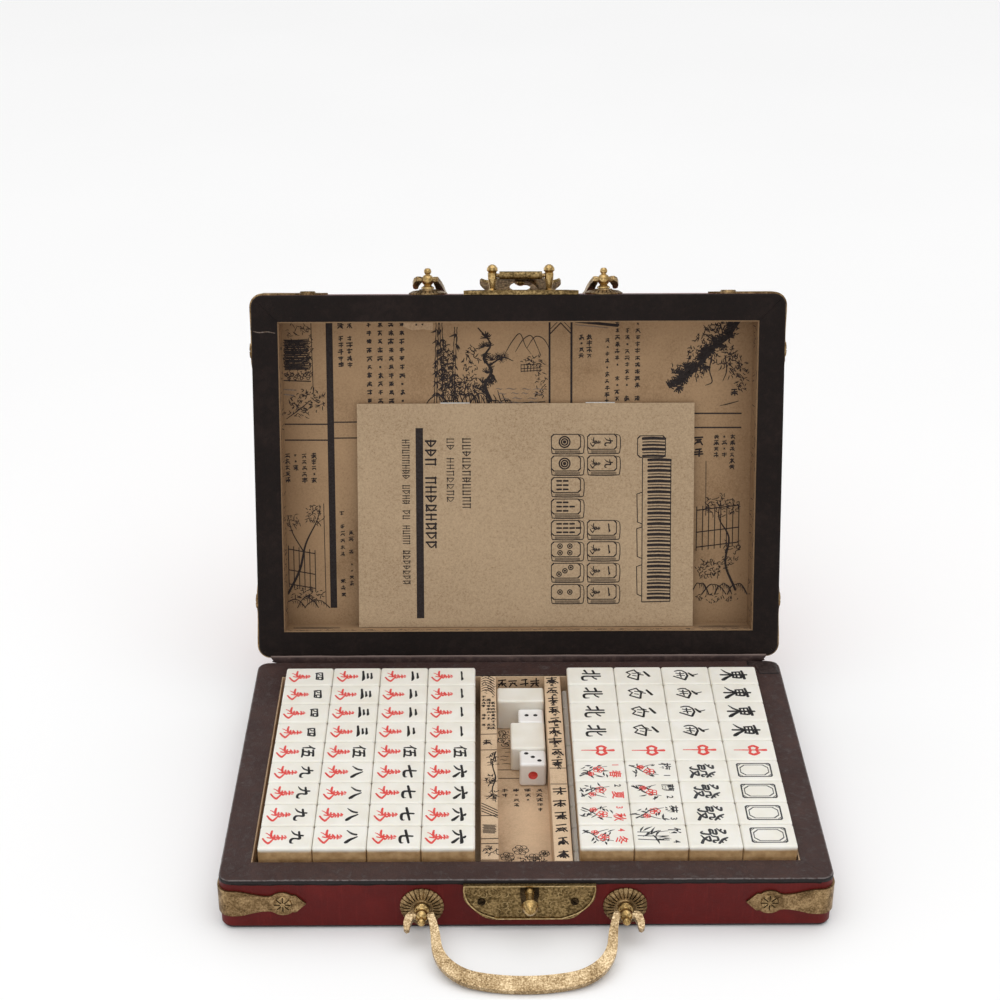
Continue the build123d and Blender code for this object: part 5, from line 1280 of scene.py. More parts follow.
def tile_drawing(ink, x0, y1, w=13.4, h=7.1):
    """A tile seen from above at a slant: outline, cut corners and its edge."""
    y0 = y1 - h
    ink.frame(x0, y0, x0 + w, y1, 0.42, 1.1)
    ink.stroke([(x0 + 0.2, y0 + 0.9, 0.4), (x0 + 0.5, y0 - 0.9, 0.4), (x0 + 1.7, y0 - 1.7, 0.45),
                (x0 + w - 0.6, y0 - 1.7, 0.45), (x0 + w + 1.2, y0 - 0.5, 0.42), (x0 + w + 1.3, y1 - 1.4, 0.38),
                (x0 + w - 0.6, y1 - 0.3, 0.35)], per=3)
    for q in range(4):
        ink.line(x0 + 1.8, y0 - 0.4 - 0.3 * q, x0 + w - 0.4, y0 - 0.4 - 0.3 * q, 0.16)


for k in range(8):
    top = 86.4 - 9.6 * k
    x0, cx, cy = 86.2, 86.2 + 6.7, top - 3.6
    tile_drawing(dark, x0, top)
    if k < 2:
        dark.disc(cx - 0.6, cy, 2.7, 22)
        soft.ring(cx - 0.6, cy, 1.9, 0.3, n=18)
        soft.ring(cx - 0.6, cy, 0.95, 0.28, n=12)
    elif k < 5:
        for r in range(3):
            for c in range(2 + (r == 1) * (k > 2) + (k == 4)):
                dark.line(cx - 4.0 + c * 2.9, cy + 1.9 - 1.9 * r, cx - 2.0 + c * 2.9, cy + 1.9 - 1.9 * r, 0.8)
    else:
        for a, b in {5: [(-1, 1), (1, 1), (-1, -1), (1, -1)], 6: [(-1.2, -1), (0, 0), (1.2, 1)], 7: [(-1, 0), (1, 0)]}[k]:
            dark.disc(cx + 2.2 * a - 0.4, cy + 1.5 * b, 1.25, 14)
            soft.ring(cx + 2.2 * a - 0.4, cy + 1.5 * b, 0.65, 0.25, n=10)
    if k in (0, 1, 4, 5, 6, 7):
        x0 = 102.3
        tile_drawing(dark, x0, top)
        # the sign lies on its side: its top is to the right
        for s_ in SIGNS["wan"]:
            dark.stroke([(x0 + 1.4 + 4.6 * y_ / 100, cy + 2.1 - 4.2 * x_ / 100, w_ * 0.05) for x_, y_, w_ in s_], per=3)
        for s_ in SIGNS["9" if k < 2 else "1"]:
            dark.stroke([(x0 + 7.6 + 4.0 * y_ / 100, cy + 2.0 - 4.0 * x_ / 100, w_ * 0.06) for x_, y_, w_ in s_], per=3)
# a long row of tiles stacked on edge
y, q = 84.2, 0
while y > 12.2:
    t = (1.35, 0.55, 1.0)[q % 3]
    left = 126.9 if y > 75 else 129.4
    right = left + 10.2
    dark.stroke([(left + 0.2, y, t * 0.9), (left + 5, y + 0.15, t), (right, y - 0.1, t * 0.85)], per=2)
    y -= t * 0.5 + 0.62 + (1.35, 0.55, 1.0)[(q + 1) % 3] * 0.5
    q += 1
dark.frame(124.6, 75.6, 137.4, 85.6, 0.4, 1.2)
dark.line(127.0, 75.4, 127.0, 11.2, 0.4)
dark.line(139.7, 74.8, 139.7, 11.6, 0.4)
for y in (59.5, 44.0, 27.0):
    dark.line(124.6, y, 124.9, y - 12.5, 0.4)
    dark.line(124.9, y - 12.5, 127.0, y - 13.4, 0.4)
    dark.line(124.6, y, 127.0, y + 0.8, 0.4)
dark.line(127.0, 11.0, 139.7, 11.3, 0.5)
dark.make("booklet_print", PRINT, "booklet", slot="booklet_cover")
soft.make("booklet_print_pale", KRAFT_BOOK, "booklet", slot="booklet_cover")

# ---------------------------------------------------------------------------
# painted ornament on the lid's top: x and y of the shut lid
# ---------------------------------------------------------------------------
def top_ink(lift=0.02):
    return Ink((0, 0, LID1), (1, 0, 0), (0, 1, 0), OPENED, lift=lift)


rng = random.Random(21)
gold, pale, green, slate, rust = top_ink(0.045), top_ink(0.06), top_ink(0.03), top_ink(0.025), top_ink(0.02)
CX0, CY0, RX, RY = 1.2, 8.2, 72.8, 63.2
gold.ring(CX0, CY0, RX, 1.5, n=120, ry=RY)
gold.ring(CX0, CY0, RX - 4.6, 2.1, n=120, ry=RY - 4.6)


def P(u, v):
    """A point of the round field, where the inner ring is the unit circle."""
    return CX0 + u * (RX - 6.2), CY0 + v * (RY - 6.2)


def body_path(pts, per=10):
    s = smooth_path([(*P(u, v), w) for u, v, w in pts], per)
    d = np.gradient(s[:, :2], axis=0)
    ln = np.maximum(np.hypot(d[:, 0], d[:, 1]), 1e-9)
    return s, np.stack([-d[:, 1] / ln, d[:, 0] / ln], 1), d / ln[:, None]


# the dragon's body: a dark ribbon with rows of scales, a crest and a belly band
DRAGON = [(-0.88, 0.02, 1.0), (-0.85, 0.20, 4.0), (-0.72, 0.38, 7.5), (-0.54, 0.44, 9.5), (-0.40, 0.34, 10.0),
          (-0.27, 0.30, 10.0), (-0.18, 0.46, 10.5), (-0.10, 0.68, 11.0), (0.08, 0.78, 11.0), (0.26, 0.70, 11.0),
          (0.36, 0.54, 11.0), (0.50, 0.50, 11.0), (0.64, 0.55, 10.5), (0.76, 0.44, 10.0), (0.72, 0.26, 9.5),
          (0.56, 0.20, 9.0), (0.46, 0.24, 8.6)]
s, nrm, tan = body_path(DRAGON)
slate.strip([tuple(p[:2] + n * p[2] / 2) for p, n in zip(s, nrm)], [tuple(p[:2] - n * p[2] / 2) for p, n in zip(s, nrm)])
lens = np.cumsum(np.r_[0, np.hypot(*np.diff(s[:, :2], axis=0).T)])


def along(d):
    i = min(int(np.searchsorted(lens, d)), len(s) - 1)
    return s[i], nrm[i], tan[i]


d = 2.0
while d < lens[-1] - 1:
    p, n, t = along(d)
    rows = max(2, int(p[2] / 2.1))
    for r in range(rows):
        f = (r + 0.5 + 0.5 * (int(d / 1.7) % 2)) / rows - 0.5
        if abs(f) > 0.44:
            continue
        c = p[:2] + n * p[2] * f
        pts = [(c - n * 0.75 - t * 0.1), (c - n * 0.5 + t * 0.75), (c + t * 1.05), (c + n * 0.5 + t * 0.75), (c + n * 0.75 - t * 0.1)]
        ink = gold if rng.random() < 0.72 else green
        ink.stroke([(q[0], q[1], 0.34) for q in pts], per=2)
    # crest on the outer side
    c = p[:2] + n * (p[2] / 2 + 0.1)
    gold.stroke([(*(c - t * 0.4), 0.8), (*(c + n * 1.3 + t * 0.7), 0.5), (*(c + n * 2.1 + t * 2.0), 0.15)], per=2)
    d += 1.7
for side, w in ((0.5, 0.55), (-0.5, 0.7), (-0.33, 0.3)):
    gold.stroke([(*(p[:2] + n * p[2] * side), w) for p, n in list(zip(s, nrm))[::4]], per=3)


def claw(u, v, a, ink=gold, size=1.0):
    """A leg with four claws and a tuft at the joint."""
    x, y = P(u, v)
    kx, ky = x + 7 * size * math.cos(a), y + 7 * size * math.sin(a)
    ink.stroke([(x, y, 3.4 * size), (x + 4 * size * math.cos(a + 0.5), y + 4 * size * math.sin(a + 0.5), 2.8 * size),
                (kx, ky, 2.0 * size)], per=4)
    for q in range(4):
        b = a - 0.9 + 0.6 * q
        ink.stroke([(kx, ky, 1.1 * size), (kx + 2.6 * size * math.cos(b), ky + 2.6 * size * math.sin(b), 0.9 * size),
                    (kx + 4.2 * size * math.cos(b - 0.45), ky + 4.2 * size * math.sin(b - 0.45), 0.2)], per=3)
    for q in range(4):
        b = a + 2.2 + 0.35 * q
        green.stroke([(x, y, 0.9), (x + 3 * size * math.cos(b), y + 3 * size * math.sin(b), 0.7),
                      (x + 5.4 * size * math.cos(b + 0.35), y + 5.4 * size * math.sin(b + 0.35), 0.15)], per=3)


claw(-0.50, 0.30, -2.3, gold, 0.9)
claw(-0.20, 0.52, -3.0, gold, 0.9)
claw(0.30, 0.60, -1.0, gold, 0.9)
claw(0.70, 0.34, -0.4, gold, 0.85)
# tail tuft
x, y = P(-0.88, 0.02)
for q in range(7):
    b = -2.4 + 0.32 * q
    green.stroke([(x, y, 1.1), (x + 5 * math.cos(b), y + 5 * math.sin(b), 1.2),
                  (x + 9 * math.cos(b + 0.35), y + 9 * math.sin(b + 0.35), 0.2)], per=4)
# head, turned towards the middle
hx, hy = P(0.36, 0.19)
green.disc(hx + 1.0, hy + 0.6, 6.8, 24, ry=4.6, turn=0.25)
green.stroke([(hx - 2, hy + 1.6, 5.0), (hx - 7, hy + 0.6, 3.8), (hx - 10.5, hy + 1.4, 2.2)], per=4)
green.stroke([(hx - 1, hy - 2.6, 3.0), (hx - 5.5, hy - 4.6, 2.2), (hx - 8.4, hy - 4.4, 1.0)], per=4)
gold.stroke([(hx - 10.8, hy + 2.6, 0.5), (hx - 8.0, hy + 3.4, 0.8), (hx - 3.0, hy + 3.6, 0.7), (hx + 1.0, hy + 5.0, 0.5)])
gold.stroke([(hx - 10.6, hy - 0.2, 0.4), (hx - 6.0, hy - 1.6, 0.6), (hx - 1.0, hy - 1.0, 0.5)])
gold.stroke([(hx - 8.6, hy - 5.2, 0.4), (hx - 4.0, hy - 5.8, 0.6), (hx + 2.0, hy - 4.4, 0.5)])
gold.ring(hx - 1.2, hy + 2.2, 1.25, 0.5, n=14)
slate.disc(hx - 1.2, hy + 2.2, 0.5, 8)
for q in range(5):
    gold.line(hx - 9.4 + 1.7 * q, hy - 0.9, hx - 9.1 + 1.7 * q, hy - 2.3, 0.4)
for q in (0, 1):
    gold.stroke([(hx + 2, hy + 4 - q, 1.2), (hx + 6, hy + 9 - 2 * q, 0.9), (hx + 11, hy + 10.5 - 3 * q, 0.3)], per=4)
    gold.stroke([(hx - 10.4, hy + 1.5 - 2 * q, 0.6), (hx - 15, hy + 4 - 7 * q, 0.5), (hx - 19.5, hy + 2.0 - 4 * q, 0.15)], per=4)
for q in range(12):
    b = -1.9 + 0.26 * q
    ink = (gold, green)[q % 2]
    ink.stroke([(hx + 4 + 2 * math.cos(b), hy + 1 + 3 * math.sin(b), 1.0),
                (hx + 4 + 7 * math.cos(b + 0.1), hy + 1 + 7 * math.sin(b + 0.1), 1.0),
                (hx + 4 + 11.5 * math.cos(b + 0.45), hy + 1 + 10 * math.sin(b + 0.45), 0.2)], per=4)
# small flames round a pearl in the middle
for u, v in ((-0.12, 0.16), (0.02, 0.22), (0.12, 0.10), (-0.02, 0.03), (-0.16, 0.0), (0.16, -0.04)):
    x, y = P(u, v)
    gold.stroke([(x - 1.5, y - 1.2, 0.5), (x - 0.2, y + 0.2, 0.7), (x - 0.6, y + 1.8, 0.2)], per=3)
    gold.stroke([(x + 1.6, y - 0.9, 0.5), (x + 0.4, y + 0.1, 0.7), (x + 1.2, y + 1.9, 0.2)], per=3)
x, y = P(0.0, 0.12)
gold.ring(x, y, 1.9, 0.6, n=18)


def feather(x, y, a, ln, w, fill, edge, bars=True):
    """A long feather from (x, y) towards angle a, with a quill and barbs."""
    c, q = math.cos(a), math.sin(a)
    bend = 0.10 * ln
    mid = (x + c * ln * 0.5 - q * bend, y + q * ln * 0.5 + c * bend)
    end = (x + c * ln, y + q * ln)
    fill.stroke([(x, y, w * 0.4), (*mid, w), (*end, w * 0.35)], per=5)
    edge.stroke([(x, y, 0.35), (*mid, 0.4), (*end, 0.25)], per=5)
    if bars:
        n = max(3, int(ln / 1.6))
        for i in range(1, n):
            t = i / n
            px = (1 - t) ** 2 * x + 2 * t * (1 - t) * mid[0] + t * t * end[0]
            py = (1 - t) ** 2 * y + 2 * t * (1 - t) * mid[1] + t * t * end[1]
            ww = w * 0.5 * (1 - abs(t - 0.55))
            for sgn in (-1, 1):
                b = a + sgn * 0.9
                edge.line(px, py, px + ww * math.cos(b), py + ww * math.sin(b), 0.26)


# the phoenix: long tail plumes first, then wings, body and head
fx, fy = P(-0.10, -0.42)
for i, (u, v) in enumerate(((0.94, 0.06), (0.93, -0.10), (0.88, -0.26), (0.79, -0.42), (0.66, -0.58), (0.50, -0.70))):
    ex, ey = P(u, v)
    mx, my = P(0.34 + 0.05 * i, -0.36 - 0.09 * i)
    fill = (rust, green, slate, rust, green, slate)[i]
    fill.stroke([(fx, fy, 1.2), (mx, my, 4.4), (ex, ey, 2.0)], per=10)
    path = smooth_path([(fx, fy, 0.5), (mx, my, 0.5), (ex, ey, 0.3)], 14)
    gold.stroke([tuple(p) for p in path[::3]], per=2)
    for j in range(3, len(path) - 1):
        px, py, _ = path[j]
        a = math.atan2(path[j][1] - path[j - 1][1], path[j][0] - path[j - 1][0])
        for sgn in (-1, 1):
            gold.stroke([(px, py, 0.3), (px + 1.5 * math.cos(a + sgn * 0.7), py + 1.5 * math.sin(a + sgn * 0.7), 0.34),
                         (px + 2.5 * math.cos(a + sgn * 0.35), py + 2.5 * math.sin(a + sgn * 0.35), 0.12)], per=2)
    gold.ring(ex, ey, 2.3, 0.6, n=16)
    green.disc(ex, ey, 1.9, 14)
    pale.disc(ex, ey, 0.9, 10)
    gold.spiral(ex + 1.2, ey + 2.6, 2.4, 1.2, 0.6, start=-1.2)
for i in range(11):
    a = math.pi + 0.50 - 0.13 * i
    x, y = P(-0.34 + 0.014 * i, -0.26 - 0.028 * i)
    feather(x, y, a, 33 - 1.1 * i, 4.2, (rust, green, slate)[i % 3], gold)
for i in range(12):
    a = -1.95 + 0.155 * i
    x, y = P(-0.28 + 0.03 * i, -0.40)
    feather(x, y, a, 17 + 0.5 * i, 3.8, (slate, rust, green)[i % 3], gold)
bx, by = P(-0.22, -0.33)
rust.disc(bx, by, 15.5, 30, ry=7.4, turn=0.12)
for r in range(5):
    for q in range(11):
        t = (q + 0.5 * (r % 2)) / 11
        x = bx - 13.5 + 27 * t
        y = by - 5.4 + 2.7 * r + 0.12 * (x - bx)
        if ((x - bx) / 15.5) ** 2 + ((y - by) / 7.4) ** 2 < 0.92:
            gold.stroke([(x + 0.9, y - 0.9, 0.34), (x - 0.6, y - 0.5, 0.4), (x - 0.6, y + 0.5, 0.4), (x + 0.9, y + 0.9, 0.34)], per=2)
gold.ring(bx, by, 15.5, 0.7, n=40, ry=7.4)
neck = [(*P(-0.36, -0.24), 8.0), (*P(-0.44, -0.10), 5.6), (*P(-0.38, 0.03), 4.2), (*P(-0.28, 0.07), 3.8)]
green.stroke(neck, per=6)
for sgn in (-1, 1):
    gold.stroke([(x + sgn * w * 0.45, y, 0.45) for x, y, w in neck], per=4)
npath = smooth_path(neck, 5)
for p in npath[::2]:
    gold.stroke([(p[0] - 1.4, p[1] - 0.3, 0.3), (p[0], p[1] + 0.8, 0.4), (p[0] + 1.4, p[1] - 0.3, 0.3)], per=2)
x, y = P(-0.26, 0.06)
green.disc(x, y, 3.0, 18, ry=2.3)
gold.ring(x, y, 3.0, 0.45, n=20, ry=2.3)
gold.stroke([(x + 2.4, y + 0.5, 1.5), (x + 5.2, y - 0.6, 0.9), (x + 6.2, y - 2.2, 0.2)], per=4)
pale.disc(x + 0.5, y + 0.5, 0.6, 8)
for q in range(5):
    b = 1.5 + 0.4 * q
    gold.stroke([(x - 1, y + 1.6, 0.8), (x - 1 + 3.6 * math.cos(b), y + 1.6 + 3.6 * math.sin(b), 0.9),
                 (x - 1 + 5.6 * math.cos(b + 0.3), y + 1.6 + 5.6 * math.sin(b + 0.3), 0.2)], per=3)


def cloud(u, v, r, ink):
    x, y = P(u, v)
    for k, (dx, dy, f) in enumerate(((-1.0, 0, 0.8), (0, 0.55, 1.0), (1.05, 0.05, 0.8), (0.3, -0.6, 0.7), (-0.6, -0.6, 0.6))):
        ink.spiral(x + dx * r, y + dy * r, r * f * 0.62, 1.3, 0.5, start=0.8 * k, way=1 if k % 2 else -1)


for u, v, r in ((-0.62, 0.62, 5.0), (-0.38, 0.70, 4.8), (-0.62, 0.20, 4.4), (-0.36, 0.15, 3.8), (0.02, 0.50, 4.6),
                (0.24, 0.40, 3.8), (0.52, 0.73, 4.2), (0.50, 0.34, 3.6), (0.84, 0.24, 3.8), (0.42, -0.10, 5.0),
                (0.66, -0.02, 4.6), (0.24, -0.20, 4.0), (-0.72, -0.02, 4.6), (-0.55, -0.08, 3.6), (-0.06, -0.12, 3.2)):
    cloud(u, v, r, gold)
    x, y = P(u, v)
    rust.disc(x, y, r * 1.15, 16, ry=r * 0.85)


# blossoms and scrolls that fill the field between the two
for u, v, n, size in ((-0.72, -0.38, 16, 6.2), (-0.44, -0.80, 16, 6.2), (-0.03, -0.88, 14, 5.2), (0.38, -0.82, 14, 5.4),
                      (0.84, -0.30, 12, 5.0), (0.70, 0.52, 13, 5.4), (-0.22, 0.90, 12, 4.8), (0.34, 0.92, 12, 4.6),
                      (-0.80, 0.44, 12, 5.0), (-0.50, 0.12, 12, 5.0), (0.55, 0.12, 11, 4.6), (0.08, 0.60, 11, 4.4)):
    x, y = P(u, v)
    for k in range(n):
        a = 6.283 * k / n + rng.uniform(-0.1, 0.1)
        leaf((gold, green, gold, slate)[k % 4], x, y, a, size * rng.uniform(0.75, 1.1), 1.0 if k % 2 == 0 else 1.9)
    rust.disc(x, y, 1.7, 14)
    gold.ring(x, y, 1.5, 0.5, n=14)
for q in range(34):
    t = 2 * math.pi * (q + rng.uniform(-0.25, 0.25)) / 34
    x, y = P(0.925 * math.cos(t), 0.925 * math.sin(t))
    gold.spiral(x, y, rng.uniform(1.9, 2.9), 1.4, 0.55, start=t, way=rng.choice((-1, 1)))
    for k in range(3):
        leaf((slate, green, green)[k], x, y, t + math.pi + rng.uniform(-1.2, 1.2), rng.uniform(3.5, 7.0), 1.7)
        leaf(gold, x, y, t + math.pi + rng.uniform(-1.3, 1.3), rng.uniform(3.0, 5.5), 0.7)


# corner pieces: a roundel with a long-life lattice and scrolls along both edges
def corner(cx, cy, sx, sy, arm_x, arm_y):
    """(cx, cy) is the roundel's middle, sx and sy point to the lid's corner."""
    def Q(a, b):
        return cx + sx * a, cy + sy * b

    for r, w in ((13.4, 0.9), (11.0, 0.7)):
        gold.ring(cx, cy, r, w, n=44, ry=r * 0.98)
    gold.ring(cx, cy, 12.2, 0.3, n=44, ry=12.0)
    # lattice
    for k, (h, w) in enumerate(((8.6, 4.4), (6.0, 8.0), (3.4, 9.2), (0.8, 9.8), (-1.8, 9.6), (-4.4, 8.6), (-7.0, 6.4))):
        gold.line(cx - w * 0.92, cy + h, cx - 1.1, cy + h, 0.85)
        gold.line(cx + 1.1, cy + h, cx + w * 0.92, cy + h, 0.85)
    gold.line(cx, cy - 9.8, cx, cy + 9.8, 1.0)
    for q in (-1, 1):
        gold.line(cx + q * 4.6, cy + 6.0, cx + q * 4.6, cy - 7.0, 0.8)
        gold.line(cx + q * 7.6, cy + 3.4, cx + q * 7.6, cy - 1.8, 0.7)
    # scrolls, mirrored about the diagonal
    def both(a, b, r, turns, w, start, way):
        x, y = Q(a, b)
        gold.spiral(x, y, r, turns, w, start=start if sx > 0 else math.pi - start, way=way * sx * sy)
        x, y = Q(b, a)
        st = math.pi / 2 - start
        gold.spiral(x, y, r, turns, w, start=st if sx > 0 else math.pi - st, way=-way * sx * sy)

    rs = random.Random(3)
    for a, b, r in ((14.6, 13.2, 4.3), (15.6, 6.0, 3.4), (16.6, -0.6, 3.2), (16.8, -7.2, 3.4), (13.4, -12.6, 3.4),
                    (17.6, -14.2, 3.2), (13.8, -19.2, 3.2), (17.4, -21.4, 2.9), (9.0, -15.2, 2.9), (15.2, -26.2, 2.8),
                    (11.2, -23.6, 2.5), (18.2, -28.4, 2.2), (16.0, -32.4, 2.0), (9.8, 14.2, 3.0)):
        both(a, b, r * 1.12, 1.35, 0.85, rs.uniform(0, 6.28), rs.choice((-1, 1)))
    # border line
    pts = [(19.0, 17.6), (19.4, 4), (19.6, -10), (19.6, -22), (18.8, -31), (16.2, -35.4)]
    gold.stroke([(*Q(a, b), 0.75) for a, b in pts], per=4)
    gold.stroke([(*Q(b, a), 0.75) for a, b in pts], per=4)
    pts = [(16.2, -35.4), (12.2, -29.5), (9.6, -26.0), (6.4, -19.0), (4.0, -16.2)]
    gold.stroke([(*Q(a, b), 0.6) for a, b in pts], per=4)
    gold.stroke([(*Q(b, a), 0.6) for a, b in pts], per=4)


for cx, cy, sx, sy in ((-86.0, -44.5, -1, -1), (86.0, -45.5, 1, -1), (-86.5, 54.5, -1, 1), (86.0, 54.5, 1, 1)):
    corner(cx, cy, sx, sy, 0, 0)
for name, ink, mat in (("gold", gold, GOLD), ("pale", pale, GOLD_PALE), ("green", green, LEAF), ("slate", slate, SLATE),
                       ("rust", rust, RUST)):
    ink.make(f"lid_ornament_{name}", mat, "lid", slot="red_leather", thick=0.02)

# ---------------------------------------------------------------------------
# lock plates: painted highlight along the ridge, and engraved curls
# ---------------------------------------------------------------------------
LOCK_X, LOCK_HALF = 1.2, 24.9


def plate_lines(name, z0, flip, height, m, body):
    """z0 is the straight edge of the plate, flip -1 where the plate hangs down from it."""
    # painted highlight along the plate's raised ridge
    ridge = Ink((LOCK_X, -D / 2 - 1.7, z0), (1, 0, 0), (0, 0, 1), m, lift=0.012)
    h = LOCK_HALF - 0.3
    side = [(h, 0.3), (h, 3.2), (h - 1.72, 8.2), (h - 5.9, 12.6), (12.3, height - 0.3)]
    ridge.stroke([(x, flip * y, 0.46) for x, y in side], per=7)
    ridge.stroke([(-x, flip * y, 0.46) for x, y in side], per=7)
    ridge.line(-12.3, flip * (height - 0.3), 12.3, flip * (height - 0.3), 0.46)
    ridge.line(-h, flip * 0.3, h, flip * 0.3, 0.46)
    ridge.make(f"{name}_ridge", BRASS_LINE, body, thick=0.015, slot="brass")
    curls = Ink((LOCK_X, -D / 2 - 1.2, z0), (1, 0, 0), (0, 0, 1), m, lift=0.02)
    r = random.Random(17)
    for x, y, s in ((-20.6, 3.4, 1.9), (-17.4, 4.6, 1.5), (-13.6, 3.2, 2.1), (-9.6, 4.4, 1.8), (-6.0, 3.0, 1.4), (-20.0, 8.6, 1.5),
                    (-13.6, 8.4, 2.1), (-9.6, 9.2, 2.0), (-5.6, 7.8, 1.7), (-12.4, 12.4, 1.7), (-7.6, 12.6, 1.7), (-3.4, 12.2, 1.6)):
        for sx in (-1, 1):
            if y > height - 1.8:
                continue
            a, way = r.uniform(0, 6.28), r.choice((-1, 1))
            curls.spiral(sx * x, flip * y, s, 1.15, 0.30, start=a, way=way, inner=0.2)
            b = a + 2.2
            curls.stroke([(sx * x + s * 0.5 * math.cos(b), flip * y + s * 0.5 * math.sin(b), 0.2),
                          (sx * x + s * 1.0 * math.cos(b + 0.5), flip * y + s * 1.0 * math.sin(b + 0.5), 0.42),
                          (sx * x + s * 1.35 * math.cos(b + 0.2), flip * y + s * 1.35 * math.sin(b + 0.2), 0.15)], per=3)
    curls.make(f"{name}_curls", BRASS_CURL, body, thick=0.015, slot="brass")
    if flip < 0:
        # painted shadow of the post on the plate
        shade = Ink((LOCK_X, -D / 2 - 1.2, z0), (1, 0, 0), (0, 0, 1), m, lift=0.045)
        shade.poly([(-3.5, -0.75), (3.5, -0.75), (3.6, -4.6), (3.0, -8.6), (1.6, -9.6), (-1.6, -9.6), (-3.0, -8.6), (-3.6, -4.6)])
        shade.make(f"{name}_post_shadow", DARK_METAL, body, thick=0.012, slot="brass")


plate_lines("base_plate", 20.8, -1, 15.8, None, "base")
plate_lines("lid_plate", LID_PLATE_LOW, 1, LID_PLATE_H, OPENED, "lid")


# painted shadow line where the rim leather ends on the walls
def rim_edge(name, z, way, m, body):
    r = random.Random(31)
    whole = None
    for o, u, half in (((0, -D / 2, z), (1, 0, 0), 110.8), ((0, D / 2, z), (-1, 0, 0), 110.8),
                       ((-W / 2, 0, z), (0, -1, 0), 74.8), ((W / 2, 0, z), (0, 1, 0), 74.8)):
        ink = Ink(o, u, (0, 0, 1), m, lift=0.02)
        pts, x = [], -half
        while x < half:
            pts.append((x, way * r.uniform(-0.10, 0.22), r.uniform(0.30, 0.75)))
            x += r.uniform(2.0, 4.5)
        pts.append((half, 0.0, 0.4))
        ink.stroke(pts, per=3)
        if whole is None:
            whole = ink
        else:
            k = len(whole.verts)
            whole.verts += ink.verts
            whole.faces += [[i + k for i in f] for f in ink.faces]
    whole.make(name, RIM_LID_SHADED, body, thick=0.015, slot="rim_leather")


rim_edge("base_rim_edge", HB - 1.9, -1, None, "base")

# ---------------------------------------------------------------------------
# painted shade in the slots of the star screws
# ---------------------------------------------------------------------------
for part, z, m, body in (("base", 12.1, None, "base"), ("lid", 32.2, OPENED, "lid")):
    objs = []
    for o, u in ([((sx * 91.8, -81.15, z), (1, 0, 0)) for sx in (-1, 1)] + [((sx * 91.8, 81.15, z), (-1, 0, 0)) for sx in (-1, 1)]
                 + [((-117.15, sy * 55.8, z), (0, -1, 0)) for sy in (-1, 1)] + [((117.15, sy * 55.8, z), (0, 1, 0)) for sy in (-1, 1)]):
        ink = Ink(o, u, (0, 0, 1), m, lift=0.04)
        for q in range(8):
            a = q * math.pi / 4
            ink.line(1.1 * math.cos(a), 1.1 * math.sin(a), 3.15 * math.cos(a), 3.15 * math.sin(a), 0.44)
        objs.append(ink)
    whole = objs[0]
    for ink in objs[1:]:
        k = len(whole.verts)
        whole.verts += ink.verts
        whole.faces += [[i + k for i in f] for f in ink.faces]
    whole.make(f"{part}_star_slots", DARK_METAL, body, thick=0.02, slot="brass")

# ---------------------------------------------------------------------------
# leather hinge: one strip from the base's back over a fold to the lid's back
# ---------------------------------------------------------------------------
def hinge_strip():
    prof = [(80.40, 18.5, 101), (80.40, 20.2, 101), (80.40, 21.6, 106.5), (80.40, 22.6, 110.0), (80.46, 23.3, 109.6),
            (80.58, 24.0, 110.2), (80.78, 24.6, 110.6), (81.05, 24.86, 110.6), (81.38, 24.66, 110.4), (81.70, 24.20, 109.6),
            (82.02, 23.62, 108.0), (82.9, 23.22, 103.0), (83.8, 22.90, 101), (84.55, 22.66, 101)]
    p = np.array(prof)
    t = np.gradient(p[:, :2], axis=0)
    t /= np.hypot(t[:, 0], t[:, 1])[:, None]
    n = np.stack([t[:, 1], -t[:, 0]], 1)          # outward, away from the boxes
    nx = 120
    verts, faces, mats = [], [], []
    for side in (0, 1):
        for i in range(len(p)):
            for j in range(nx + 1):
                f = 2 * j / nx - 1
                x = f * p[i, 2]
                wob = 0.12 * noise.noise(Vector((x * 0.07, i * 0.4, 3.0))) + 0.05 * noise.noise(Vector((x * 0.3, i, 9.0)))
                k = 0.33 if side else -0.33
                ridge = 1.0 if 4 <= i <= 9 else 0.0
                y = p[i, 0] + n[i, 0] * k + ridge * wob * 0.5
                z = p[i, 1] + n[i, 1] * k + ridge * wob
                verts.append((x * MM, y * MM, z * MM))
    m = len(p) * (nx + 1)

    def idx(side, i, j):
        return side * m + i * (nx + 1) + j

    for i in range(len(p) - 1):
        for j in range(nx):
            faces.append([idx(1, i, j), idx(1, i, j + 1), idx(1, i + 1, j + 1), idx(1, i + 1, j)])
            mats.append(1)
            faces.append([idx(0, i, j), idx(0, i + 1, j), idx(0, i + 1, j + 1), idx(0, i, j + 1)])
            mats.append(0)
    for i in range(len(p) - 1):
        faces.append([idx(0, i, 0), idx(1, i, 0), idx(1, i + 1, 0), idx(0, i + 1, 0)])
        faces.append([idx(1, i, nx), idx(0, i, nx), idx(0, i + 1, nx), idx(1, i + 1, nx)])
        mats += [0, 0]
    for j in range(nx):
        faces.append([idx(1, 0, j), idx(0, 0, j), idx(0, 0, j + 1), idx(1, 0, j + 1)])
        e = len(p) - 1
        faces.append([idx(0, e, j), idx(1, e, j), idx(1, e, j + 1), idx(0, e, j + 1)])
        mats += [0, 0]
    me = bpy.data.meshes.new("hinge_strip")
    me.from_pydata(verts, [], faces)
    me.materials.append(FOLD)
    me.materials.append(RED_BACK)
    for poly, k in zip(me.polygons, mats):
        poly.material_index = k
        poly.use_smooth = True
    import bmesh
    bm = bmesh.new()
    bm.from_mesh(me)
    bmesh.ops.recalc_face_normals(bm, faces=bm.faces)
    bm.to_mesh(me)
    bm.free()
    ob = bpy.data.objects.new("hinge_strip", me)
    SCENE.collection.objects.link(ob)
    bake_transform(ob)
    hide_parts("base_hinge_leather", "lid_hinge_leather")


hinge_strip()

